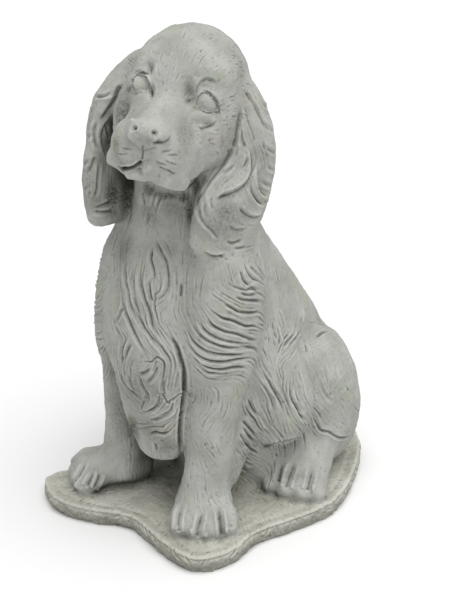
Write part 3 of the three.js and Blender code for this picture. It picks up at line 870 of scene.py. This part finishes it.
# Painted shadow under the edge of the hair, over the hind paw.
carve(traced(FLANK_EDGE), half_width=6.0, height=3.0, section=ledge, taper=(0.1, 0.2), dirt_and_shade=0.8)
THIGH_LINES = [
    [(324, 364), (326, 374), (329, 385)],
    [(319, 378), (323, 390), (328, 397), (335, 403)],
    [(335, 370), (338, 381)],
    [(345, 384), (350, 393)],
]
locks_on_both_sides(THIGH_LINES, half_width=4.2, height=0.8)
print("flank carved")

# %% [markdown]
# A fringe of hair runs down the back of each foreleg. It is drawn on the side that shows and mirrored.

# %% Fringes of the legs
FRINGE_LINES = [
    [(247, 411), (254, 419), (258, 426), (264, 433)],
    [(242, 419), (249, 428), (257, 436)],
    [(242, 426), (247, 434), (253, 441)],
    [(248, 398), (252, 408), (257, 416)],
    [(240, 432), (245, 441), (251, 448)],
    [(244, 443), (251, 449), (258, 453)],
    [(237, 457), (246, 462), (253, 465)],
    [(239, 466), (248, 471)],
]
locks_on_both_sides(FRINGE_LINES, half_width=4.0, height=1.6)
print("legs carved")

# %% [markdown]
# A paw's toes are rounded rolls with deep grooves between them, and they end in blunt claws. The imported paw
# has its round form already, so only grooves and claws are added, wide enough for the toes to roll into them.

# %% Toes and claws
FOREPAW_GROOVES = [
    [(183, 500), (180, 510), (178, 520), (178, 532)],
    [(202, 506), (201, 516), (199, 526), (197.5, 538)],
    [(218, 503), (219.5, 513), (221, 523), (222, 536)],
    [(86, 457), (84, 464), (80, 473), (75, 483)],
    [(101, 472), (99, 479), (95, 488)],
    [(92, 469), (91, 477), (87, 487)],
]
HINDPAW_GROOVES = [
    [(283, 461), (280, 470), (278, 482)],
    [(294, 458), (292, 468), (288, 480), (286, 488)],
    [(312, 463), (312, 472), (309, 484), (307, 491)],
]
CLAWS = [(177, 529), (191, 531), (206, 535), (226, 530), (77, 486), (98, 489), (87, 487), (313, 488)]
# Painted shade in the grooves between the toes.
for line in FOREPAW_GROOVES:
    carve(traced(line), half_width=6.5, height=2.8, taper=(0.5, 0.05), dirt_and_shade=0.25)
for line in HINDPAW_GROOVES:
    carve(traced(line), half_width=7.0, height=2.6, taper=(0.5, 0.05), dirt_and_shade=0.15)
    carve(mirrored(traced(line)), half_width=7.0, height=2.6, taper=(0.5, 0.05))
for claw in CLAWS:
    dab(claw, half_width=2.6, half_height=4.2, height=2.2)
print("toes carved")

# %% [markdown]
# Between the locks the whole coat is combed with short strokes. They follow the lie of a spaniel's hair: back
# from the nose over the skull, down the neck and sides, and down the legs to the toes. They are also most of
# what the hidden back has, where no lock can be seen. The base gets some too, as scratches.

# %% Combed hair
HAIR = {  # node: strokes, length, half width and depth in millimetres
    "head": (520, 12, 1.6, 0.75), "muzzle": (110, 6, 1.6, 0.55),
    "left_ear": (150, 24, 2.0, 0.5), "right_ear": (170, 24, 2.0, 0.5),
    "neck": (130, 24, 2.2, 0.6), "torso": (620, 26, 2.2, 0.6), "tail": (60, 20, 2.2, 0.8),
    "chest_feathering": (420, 38, 2.1, 0.75),
    "left_shoulder": (280, 34, 2.1, 0.7), "right_shoulder": (340, 30, 2.1, 0.7),
    "left_foreleg": (200, 16, 2.0, 0.5), "right_foreleg": (200, 16, 2.0, 0.5),
    "left_foreleg_fringe": (160, 24, 2.1, 0.9), "right_foreleg_fringe": (160, 24, 2.1, 0.9),
    "left_forepaw": (90, 9, 2.0, 0.4), "right_forepaw": (90, 9, 2.0, 0.4),
    "left_thigh": (280, 20, 2.1, 0.5), "right_thigh": (280, 20, 2.1, 0.5),
    "left_flank": (260, 30, 2.1, 0.85), "right_flank": (260, 30, 2.1, 0.85),
    "left_hindpaw": (40, 8, 2.0, 0.35), "right_hindpaw": (40, 8, 2.0, 0.35),
    "base": (420, 15, 2.2, 0.7),
}
STEP = 2.0
LENGTHS, WIDTHS, DEPTHS = (0.7, 1.3), (0.9, 1.2), (0.6, 1.3)  # how far strokes differ from those sizes
COMB_TAPER = (0.4, 0.5)
COMB_DEPTH = 1.1  # the deepest that strokes go, however many cross
GUIDE_REACH = 9.0  # how far a lock draws the strokes beside it along
GUIDES = 6  # the points of locks that are asked
OWN_LIE = 0.2  # the weight of the hair's own lie beside that of the locks
CROWN = 85.0  # how far behind the nose the hair of the head turns down towards the neck
PAW_WAY = np.array([0, -1.0, -0.6])
TAIL_WAY = np.array([0, 1.0, -0.3])
SWING = 0.004  # how far the wavy hair of the body swings from straight down
UNDER_TOP = 1.5  # hair and scratches start no lower than this under the top of the base
nose_tip = np.mean(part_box("nose"), axis=0) / MM
guide_ways = np.concatenate(guide_ways)
guide_ways /= np.maximum(np.linalg.norm(guide_ways, axis=1, keepdims=True), 1e-9)
guide_tree = KDTree(len(guide_ways))
for number, place in enumerate(np.concatenate(guide_places).tolist()):
    guide_tree.insert(place, number)
guide_tree.balance()


def lie_of_hair(place, name):
    """The way the hair lies at a place: along the locks near it, or else as a spaniel's coat grows."""
    if name in ("head", "muzzle"):
        way = place - nose_tip
        way[2] -= 2 * max(0, np.linalg.norm(way) - CROWN)
    elif "paw" in name:
        way = PAW_WAY
    elif name == "base":
        way = (place - dog) * [1, 1, 0]
    elif name == "tail":
        way = TAIL_WAY
    else:
        wave = math.sin(place[2] / 9 + place[0] / 17) + math.sin(place[2] / 23 + place[1] / 13)
        away = place - dog
        way = np.array([-SWING * wave * away[1], SWING * wave * away[0], -1.0])
    way = OWN_LIE * way / np.linalg.norm(way)
    for _, number, distance in guide_tree.find_n(place.tolist(), GUIDES):
        way = way + math.exp(-((distance / GUIDE_REACH) ** 2)) * guide_ways[number]
    return way


def combed(place, name, length):
    """A line that follows the lie of the hair from a place on the clay."""
    places, normals = [], []
    for _ in range(max(3, round(length / STEP))):
        hit = clay_tree.find_nearest(place.tolist())
        place, normal = np.array(hit[0]), np.array(hit[1])
        places.append(place)
        normals.append(normal)
        way = lie_of_hair(place, name)
        way = way - normal * (way @ normal)
        place = place + STEP * way / max(np.linalg.norm(way), 1e-9)
    return longest_run(np.array(places), np.array(normals))


carved = relief.copy()
relief[:] = 0
for name, (strokes, length, half_width, height) in HAIR.items():
    own = np.flatnonzero((even_owner == node_names.index(name)) & (even_points[:, 2] > base_top - UNDER_TOP))
    for start in DICE.choice(own, strokes):
        line = combed(even_points[start], name, length * DICE.uniform(*LENGTHS))
        wide = half_width * DICE.uniform(*WIDTHS)
        deep = height * DICE.uniform(*DEPTHS)
        carve(line, wide, deep, taper=COMB_TAPER)
relief[:] = carved + COMB_DEPTH * np.tanh(relief / COMB_DEPTH)
print("hair combed along", len(guide_ways), "points of locks")

# %% [markdown]
# ## Weathering
# Cast stone comes out of its mould with small pits from trapped air, and years of rain roughen it. Smooth
# random heights give the uneven skin, and small round dabs give the pits. The base is rougher than the dog
# and its lower edge is worn away. Its underside stays flat, because it stands on it.

# %% Uneven skin and pits
PITS = 620
PIT_SIZES, PIT_DEPTHS = (1.4, 2.6), (0.5, 1)
PIT_DEPTH = 0.45  # as a share of its size
LATTICE = 32
UNEVEN = [(0.35, 9), (0.28, 3.4)]  # height and grain of the waves in the skin, in millimetres
BASE_UNEVEN = [(0.5, 14), (0.45, 5), (0.3, 2.8)]
EYE_CALM = 9.0  # the skin is calmest this near an eye's middle, and fully uneven at twice that
RIM_HEIGHT = 1.3  # the low rim that runs round the top of the base
RIM_WIDTH = 4.0
GUTTER = 0.7  # depth of the gutter inside the rim, as a share of the rim's height


def stone_noise(points, grain):
    """Smooth random heights between -1 and 1 that change over about that many millimetres."""
    lattice = DICE.uniform(-1, 1, (LATTICE, LATTICE, LATTICE))
    low = np.floor(points / grain).astype(np.int64)
    share = eased(points / grain - low)
    heights = np.zeros(len(points))
    for corner in np.ndindex(2, 2, 2):
        weight = np.where(corner, share, 1 - share).prod(1)
        heights += weight * lattice[tuple(((low + corner) % LATTICE).T)]
    return heights


def layered(layers, start=0):
    """The sum of several layers of random heights, each given by its height and grain."""
    return sum((height * stone_noise(form, grain) for height, grain in layers), start)


height_above_base = form[:, 2] - base_top
on_base = 1 - eased((height_above_base - 0.5) / 3)
smooth_parts = np.ones(len(form))
for name in OPENINGS:
    middle = np.mean(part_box(name), axis=0) / MM
    smooth_parts *= eased(np.linalg.norm(form - middle, axis=1) / EYE_CALM - 1)
relief += layered(UNEVEN) * (0.3 + 0.7 * smooth_parts)
relief += on_base * layered(BASE_UNEVEN)
edge = np.flatnonzero((form_normals[:, 2] < 0.6) & (on_base > 0.5) & (height_above_base > -6))
edge_tree = KDTree(len(edge))
for number, place in enumerate((form[edge] * [1, 1, 0]).tolist()):
    edge_tree.insert(place, number)
edge_tree.balance()
top = np.flatnonzero((form_normals[:, 2] > 0.6) & (on_base > 0.5))
inset = np.array([edge_tree.find(place)[2] for place in (form[top] * [1, 1, 0]).tolist()])
inset /= RIM_WIDTH
rim = RIM_HEIGHT * roll(np.clip(inset - 0.5, -1, 1)) - GUTTER * RIM_HEIGHT * roll(np.clip(inset - 2.3, -1, 1))
relief[top] += rim * on_base[top]
for place in DICE.choice(len(form), PITS):
    size = DICE.uniform(*PIT_SIZES)
    near = points_in(form[place] - size, form[place] + size)
    wide = np.linalg.norm(form[near] - form[place], axis=1) / size
    deep = PIT_DEPTH * size * DICE.uniform(*PIT_DEPTHS)
    relief[near] -= deep * np.maximum(0, 1 - wide**2) * smooth_parts[near]
print("weathered, relief", relief.min().round(2), relief.max().round(2))

# %% [markdown]
# Now the relief is given to the skin. Where strokes cross, it could fold over itself, so it is made shallower
# there until it doesn't. The lower edge of the base crumbles inwards. How hollow each point lies is measured
# by comparing the stone with smoothed copies of itself, and the finish darkens the hollows with it.

# %% The carved stone
UNFOLD_ROUNDS = 6
LEAST_TURN = 0.35  # a skin that turns further than this from the form's own normal counts as folded
CRUMBLE_HEIGHT = 8.0  # how far up from the ground the edge is worn
CRUMBLE_DEPTH = 2.4
CRUMBLE_UNEVEN = [(2.4, 8), (1.7, 4)]
EYE_HIGHLIGHT = 0.35
BASE_SIDE_SHADE = 0.52
for _ in range(UNFOLD_ROUNDS):
    turned = (point_normals(form + form_normals * relief[:, None], quads) * form_normals).sum(1)
    relief *= np.clip(turned / LEAST_TURN, 0.4, 1)
stone = form + form_normals * relief[:, None]
upright = np.clip(1.6 * np.hypot(form_normals[:, 0], form_normals[:, 1]), 0, 1)
worn = np.clip((CRUMBLE_HEIGHT - stone[:, 2] + base_low[2]) / CRUMBLE_HEIGHT, 0, 1) * upright
crumbled = np.maximum(layered(CRUMBLE_UNEVEN, CRUMBLE_DEPTH), 0)
stone -= form_normals * [1, 1, 0] * (worn * crumbled)[:, None]
under = (form[:, 2] < base_low[2] + 1.5) & (form_normals[:, 2] < -0.5)
stone[under, 2] = base_low[2]
stone[:, 2] = np.maximum(stone[:, 2], base_low[2])
stone_normals = point_normals(stone, quads)


def hollowness(rounds):
    """How far each point lies below the surface that smoothing would give, in millimetres."""
    smooth = stone
    for _ in range(rounds):
        smooth = form_mean(smooth)
    return ((smooth - stone) * stone_normals).sum(1)


fine_hollow, broad_hollow = hollowness(6), hollowness(60)
fine_hollow = fine_hollow * (1 - eyeball_skin) - EYE_HIGHLIGHT * eyeball_skin  # painted highlight: the eyeballs take the pale worn colour
broad_hollow = broad_hollow * (1 - eyeball_skin)
painted_shade_and_grime *= 1 - eyeball_skin
# Painted shade: the base's sides, which turn away from the light above, are darkened.
painted_shade_and_grime = np.maximum(painted_shade_and_grime, BASE_SIDE_SHADE * on_base * (1 - np.clip(1.3 * stone_normals[:, 2], 0, 1)))
print("stone", stone.min(0).round(1), stone.max(0).round(1))
print("fine hollows", np.percentile(fine_hollow, [1, 50, 90, 99]).round(2))
print("broad hollows", np.percentile(broad_hollow, [1, 50, 90, 99]).round(2))

# %% [markdown]
# Painted shade: the parts that the figure hides from the open sky are darkened in the colour, as shade would
# darken them. From each point of the skin a few rays are sent out, and the share that meets the figure is its
# shade.

# %% Painted shade from occlusion
SHELTER_RAYS = 8
SHELTER_REACH = 140.0
GROUND_SHELTER = 0.3  # a ray aimed down counts this much as met, since the ground hides it
RAY_LIFT = 1.5  # rays start this far off the skin
RAY_LEAN = 1.05  # and lean this strongly outwards
BASE_SHADE_CUT = 0.75  # the painted shade on the open base is cut by this share
out_ways = DICE.normal(size=(SHELTER_RAYS, 3))
out_ways /= np.linalg.norm(out_ways, axis=1, keepdims=True)
even_normals = point_normals(even_points, even_faces)
blocked = np.zeros(len(even_points))
for way in out_ways:
    starts = (even_points + RAY_LIFT * even_normals).tolist()
    for number, ray in enumerate((even_normals * RAY_LEAN + way).tolist()):
        met = clay_tree.ray_cast(starts[number], ray, SHELTER_REACH)[0] is not None
        blocked[number] += 1 if met else GROUND_SHELTER * (ray[2] < 0)
even_occlusion_shade = blocked / SHELTER_RAYS
for _ in range(5):
    even_occlusion_shade = even_mean(even_occlusion_shade)
occlusion_shade = subdivided(np.repeat(even_occlusion_shade[:, None], 3, axis=1), even_faces)[0][:, 0]
# Painted shade: none on the eyeballs, and less on the open base.
occlusion_shade = occlusion_shade * (1 - eyeball_skin) * (1 - BASE_SHADE_CUT * on_base)
print("occlusion_shade", np.percentile(occlusion_shade, [1, 50, 90, 99]).round(2))

# %% [markdown]
# ## The named pieces
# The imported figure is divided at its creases, so the carved skin is cut along the same creases. Each face
# goes to the node that its corners lie nearest to. Stray patches join the piece round them, and so do faces
# that would touch their own piece at one point only, because such a piece could not be closed.

# %% Which node owns each face
def neighbour_pairs(faces):
    """Pairs of faces that share an edge, on a closed mesh."""
    starts, ends = faces.ravel(), np.roll(faces, -1, axis=1).ravel()
    keys = np.minimum(starts, ends) * (faces.max() + 1) + np.maximum(starts, ends)
    order = np.argsort(keys, kind="stable")
    return (order // faces.shape[1]).reshape(-1, 2)


def islands(pairs, count):
    """A number for each face, the same for all faces that the pairs join."""
    numbers = np.arange(count)
    while True:
        before = numbers.copy()
        least = np.minimum(numbers[pairs[:, 0]], numbers[pairs[:, 1]])
        for side in pairs.T:
            np.minimum.at(numbers, side, least)
        numbers = numbers[numbers]
        if (numbers == before).all():
            return numbers


votes = even_owner[even_faces]
counts = (votes[:, :, None] == votes[:, None, :]).sum(2)
face_owner = votes[np.arange(len(votes)), counts.argmax(1)]
pairs = neighbour_pairs(even_faces)
joined = pairs[face_owner[pairs[:, 0]] == face_owner[pairs[:, 1]]]
island = islands(joined, len(even_faces))
sizes = np.bincount(island, minlength=len(even_faces))
settled = np.zeros(len(even_faces), dtype=bool)
for number in range(len(node_names)):
    own = face_owner == number
    if own.any():
        settled |= own & (island == island[own][sizes[island[own]].argmax()])
both_ways = np.vstack([pairs, pairs[:, ::-1]])
while not settled.all():
    spread = both_ways[settled[both_ways[:, 0]] & ~settled[both_ways[:, 1]]]
    face_owner[spread[:, 1]] = face_owner[spread[:, 0]]
    settled[spread[:, 1]] = True


def open_edges(corners):
    """The starts and ends of the edges that only one face has, and where they lie among the corners."""
    starts, ends = corners.ravel(), np.roll(corners, -1, axis=1).ravel()
    top = corners.max() + 1
    alone = np.flatnonzero(~np.isin(starts * top + ends, ends * top + starts))
    return starts[alone], ends[alone], alone


PINCH_ROUNDS = 8
for _ in range(PINCH_ROUNDS):
    pinched = set()
    for number in range(len(node_names)):
        places, times = np.unique(open_edges(even_faces[face_owner == number])[0], return_counts=True)
        pinched.update(places[times > 1].tolist())
    for place in pinched:  # the piece that has most of the faces round the point gets them all
        around = (even_faces == place).any(1)
        face_owner[around] = np.bincount(face_owner[around]).argmax()
    print(len(pinched), "pinched points")
    if not pinched:
        break
print({name: int((face_owner == number).sum()) for number, name in enumerate(node_names)})

# %% [markdown]
# Each piece is closed by a wall of its own that lies a little under its skin and is joined to it along the
# cut edge. It could be capped straight across instead, but the creases wind so much that a cap would come out
# of the stone. The skin keeps the whole figure's normals, so that no seam shows: the real object is one
# casting.

# %% Cut the pieces
SLOTS = {"base": "cast_stone_base"}
WEAR_AND_SHADE = {"fine_hollow": fine_hollow, "broad_hollow": broad_hollow, "occlusion_shade": occlusion_shade, "painted_shade_and_grime": painted_shade_and_grime}
WALL = 2.5  # how far the inner wall lies under the skin, in millimetres
THIN_WALL = 0.2  # the same in a tight crease
WALL_FLOOR = 1.0  # the wall's least height above the ground
wall = stone - WALL * form_normals
wall[:, 2] = np.maximum(wall[:, 2], base_low[2] + WALL_FLOOR)
stone_tree = BVHTree.FromPolygons(stone.tolist(), quads.tolist())
pulled_back = 0
for place in np.unique(even_faces):  # in a tight crease the wall could come out on the other side
    near, facing, _, _ = stone_tree.find_nearest(wall[place])
    if np.dot(wall[place] - near, facing) > 0:
        wall[place] = stone[place] - THIN_WALL * stone_normals[place]
        pulled_back += 1
print(pulled_back, "points of the inner wall pulled back under the skin")
skin = quads.reshape(-1, 4, 4)  # each face of the even skin was cut into four
pieces = {}
for number, name in enumerate(node_names):
    own = face_owner == number
    corners = even_faces[own]
    used, faces = np.unique(skin[own], return_inverse=True)
    inner, inner_faces = np.unique(corners, return_inverse=True)
    inner_faces = inner_faces.reshape(-1, 4)[:, ::-1] + len(used)
    starts, ends, alone = open_edges(corners)
    middles = skin[own][:, :, 1].ravel()[alone]
    outer_rim = [np.searchsorted(used, rim) for rim in (ends, middles, starts)]
    inner_rim = [np.searchsorted(inner, rim) + len(used) for rim in (starts, ends)]
    lips = np.stack(outer_rim + inner_rim, 1)
    points = np.concatenate([stone[used], wall[inner]])
    normals = np.concatenate([stone_normals[used], -form_normals[inner]])
    piece = new_object(name, points, faces.reshape(-1, 4), inner_faces, lips)
    piece.data.shade_smooth()
    piece.data.normals_split_custom_set_from_vertices(normals.tolist())
    for title, values in WEAR_AND_SHADE.items():
        layer = piece.data.attributes.new(title, "FLOAT", "POINT")
        layer.data.foreach_set("value", np.append(values[used], values[inner]).astype(np.float32))
    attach(piece, "root")
    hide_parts(name)
    pieces[name] = piece
    print(name, 4 * len(corners), "faces of skin,", len(lips), "along the cut")

# %% [markdown]
# ## Materials
# Cast stone is a mix of cement and crushed stone. It is matt, with a fine sandy grain. Years outdoors bleach
# the high parts, and leave grey-green dirt in the hollows. The colour also carries painted shade: the
# hollows, the places that the figure hides from the sky and the marks of the deepest strokes are darkened as
# shade would darken them.
# To the eye it is never one colour: broad blotches, specks a few millimetres wide, pale ridges and dark
# furrows lie over each other. The wear and the painted shade were measured on the mesh itself, so the colours
# follow the carving from every side.

# %% Weathered cast stone
GRAIN_SIZE, GRAIN_HEIGHT = 2.2, 0.9  # the sandy grain, in millimetres


def linear(colour):
    """Linear red, green, blue and alpha from an sRGB hex colour."""
    shares = [int(colour[at:at + 2], 16) / 255 for at in (1, 3, 5)]
    return [*(s / 12.92 if s <= 0.04045 else ((s + 0.055) / 1.055) ** 2.4 for s in shares), 1]


def add_node(material, kind, values=None, links=None):
    """Adds a node, sets its inputs and properties by name or number, and links sockets to its inputs."""
    node = material.node_tree.nodes.new(kind)
    for key, value in (values or {}).items():
        if isinstance(key, int) or key in node.inputs:
            node.inputs[key].default_value = value
        else:
            setattr(node, key, value)
    for key, socket in (links or {}).items():
        material.node_tree.links.new(socket, node.inputs[key])
    return node


def weathered_stone(name, pale, dark, worn, dirt_and_shade, bump):
    """Cast stone as rain leaves it: pale and dark blotches, faint tints, hollows darkened by dirt and painted
    shade, and a sandy grain.
    """
    material = bpy.data.materials.new(name)
    material.use_nodes = True
    shader = material.node_tree.nodes["Principled BSDF"]
    place = add_node(material, "ShaderNodeTexCoord").outputs["Object"]

    def patches(size, low, high, detail=3.0):
        """A mask that goes from 0 to 1 over patches of about that many millimetres."""
        noise = add_node(material, "ShaderNodeTexNoise", {"Scale": 1 / (size * MM), "Detail": detail},
                         {"Vector": place})
        span = {"From Min": low, "From Max": high}
        mask = add_node(material, "ShaderNodeMapRange", span, {"Value": noise.outputs["Fac"]})
        return mask.outputs["Result"]

    def hollows(title, low, high, share):
        """A mask from what was measured on the mesh: none of it at low, that share of it at high."""
        depth = add_node(material, "ShaderNodeAttribute", {"attribute_name": title}).outputs["Fac"]
        span = {"From Min": low, "From Max": high, "To Max": share, "interpolation_type": "SMOOTHSTEP"}
        return add_node(material, "ShaderNodeMapRange", span, {"Value": depth}).outputs["Result"]

    def broken(mask, size):
        """The mask broken up into grains of about that many millimetres, as dirt and painted shade lie on a
        rough skin.
        """
        grains = add_node(material, "ShaderNodeMapRange", {"To Min": 0.6, "To Max": 1.1},
                          {"Value": patches(size, low=0.38, high=0.62, detail=4.0)}).outputs["Result"]
        return add_node(material, "ShaderNodeMath", {"operation": "MULTIPLY", "use_clamp": True},
                        {0: mask, 1: grains}).outputs["Value"]

    def mixed(mask, under, over):
        """Lays a colour over another where the mask is white."""
        node = add_node(material, "ShaderNodeMix", {"data_type": "RGBA"}, {0: mask, 6: under})
        node.inputs[7].default_value = linear(over)
        return node.outputs[2]

    blotches = patches(size=26, low=0.35, high=0.65)
    ground = add_node(material, "ShaderNodeMix", {"data_type": "RGBA"}, {0: blotches})
    ground.inputs[6].default_value = linear(pale)
    ground.inputs[7].default_value = linear(dark)
    colour = ground.outputs[2]
    colour = mixed(patches(size=34, low=0.6, high=0.85), colour, "#B3AF9F")
    colour = mixed(patches(size=29, low=0.62, high=0.85), colour, "#9DA58F")
    colour = mixed(patches(size=3.0, low=0.58, high=0.78), colour, "#8C8D82")
    colour = mixed(patches(size=1.5, low=0.62, high=0.8), colour, "#7F8075")
    # Worn ridges turn pale, and the eyeballs take the same pale colour as a painted highlight.
    colour = mixed(hollows("fine_hollow", low=-0.05, high=-0.5, share=0.45), colour, worn)
    # Dirt and painted shade: the broad hollows, the figure's occlusion, the fine hollows and the strokes'
    # marks darken the colour.
    broad = hollows("broad_hollow", low=0.2, high=3.5, share=0.5)
    colour = mixed(broken(broad, size=3.0), colour, dirt_and_shade)
    colour = mixed(hollows("occlusion_shade", low=0.42, high=0.95, share=0.75), colour, dirt_and_shade)
    colour = mixed(hollows("fine_hollow", low=0.08, high=0.8, share=0.6), colour, dirt_and_shade)
    shade_and_grime_mask = hollows("painted_shade_and_grime", low=0.0, high=1.0, share=0.9)
    colour = mixed(broken(shade_and_grime_mask, size=2.2), colour, dirt_and_shade)
    material.node_tree.links.new(colour, shader.inputs["Base Color"])
    shader.inputs["Roughness"].default_value = 0.92
    shader.inputs["Specular IOR Level"].default_value = 0.25
    shader.inputs["IOR"].default_value = 1.5
    grain = add_node(material, "ShaderNodeTexNoise", {"Scale": 1 / (GRAIN_SIZE * MM), "Detail": 5.0},
                     {"Vector": place})
    sandy = add_node(material, "ShaderNodeBump", {"Strength": bump, "Distance": GRAIN_HEIGHT * MM},
                     {"Height": grain.outputs["Fac"]})
    material.node_tree.links.new(sandy.outputs["Normal"], shader.inputs["Normal"])
    return material


finishes = {
    # the dog: even grey, rubbed pale on its ridges, with grey-green furrows
    "cast_stone": weathered_stone(
        "cast_stone_weathered", pale="#ACADA8", dark="#999A94", worn="#C2C3BF", dirt_and_shade="#3F4238", bump=0.6,
    ),
    # the base: yellower and coarser, because rain has worn its skin away
    "cast_stone_base": weathered_stone(
        "cast_stone_base_worn", pale="#BBBAB1", dark="#A5A499", worn="#C6C5BD", dirt_and_shade="#3C3D32", bump=0.9,
    ),
}
for name, piece in pieces.items():
    slot = SLOTS.get(name, "cast_stone")
    piece.data.materials.append(finishes[slot])
print("materials:", list(finishes))

# %% [markdown]
# ## Light
# The photograph has a plain white ground and a soft light from above and in front, a little from the right. A
# wide sun gives that softness with one lamp, and a white world fills the shadows as a bright room would.

# %% Floor and light
FLOOR_HALF = 12000.0
FLOOR_DROP = 0.3  # keeps the floor clear of the base's underside
ROOM_STRENGTH = 0.5
SUN_STRENGTH = 2.7
SUN_WIDTH = math.radians(60)
towards_sun = 0.75 * up + 0.15 * right + 0.6 * back
floor_corners = np.array([[-1, -1, 0], [1, -1, 0], [1, 1, 0], [-1, 1, 0]]) * FLOOR_HALF
floor = new_object("floor", floor_corners + [0, 0, base_low[2] - FLOOR_DROP], np.array([[0, 1, 2, 3]]))
paper = bpy.data.materials.new("white_paper")
paper.use_nodes = True
paper_shader = paper.node_tree.nodes["Principled BSDF"]
paper_shader.inputs["Base Color"].default_value = linear("#E8E8E8")
paper_shader.inputs["Roughness"].default_value = 0.9
paper_shader.inputs["Specular IOR Level"].default_value = 0.1
floor.data.materials.append(paper)
world = bpy.data.worlds.new("white_room")
bpy.context.scene.world = world
world.use_nodes = True
world.node_tree.nodes["Background"].inputs["Color"].default_value = (1, 1, 1, 1)
world.node_tree.nodes["Background"].inputs["Strength"].default_value = ROOM_STRENGTH
sky_data = bpy.data.lights.new("soft_daylight", "SUN")
sky_data.energy = SUN_STRENGTH
sky_data.angle = SUN_WIDTH
sky = bpy.data.objects.new("soft_daylight", sky_data)
sky.rotation_euler = Vector(-towards_sun).to_track_quat("-Z", "Y").to_euler()
bpy.context.scene.collection.objects.link(sky)
bpy.context.scene.view_settings.view_transform = "Standard"
print("lit by", sky.name)
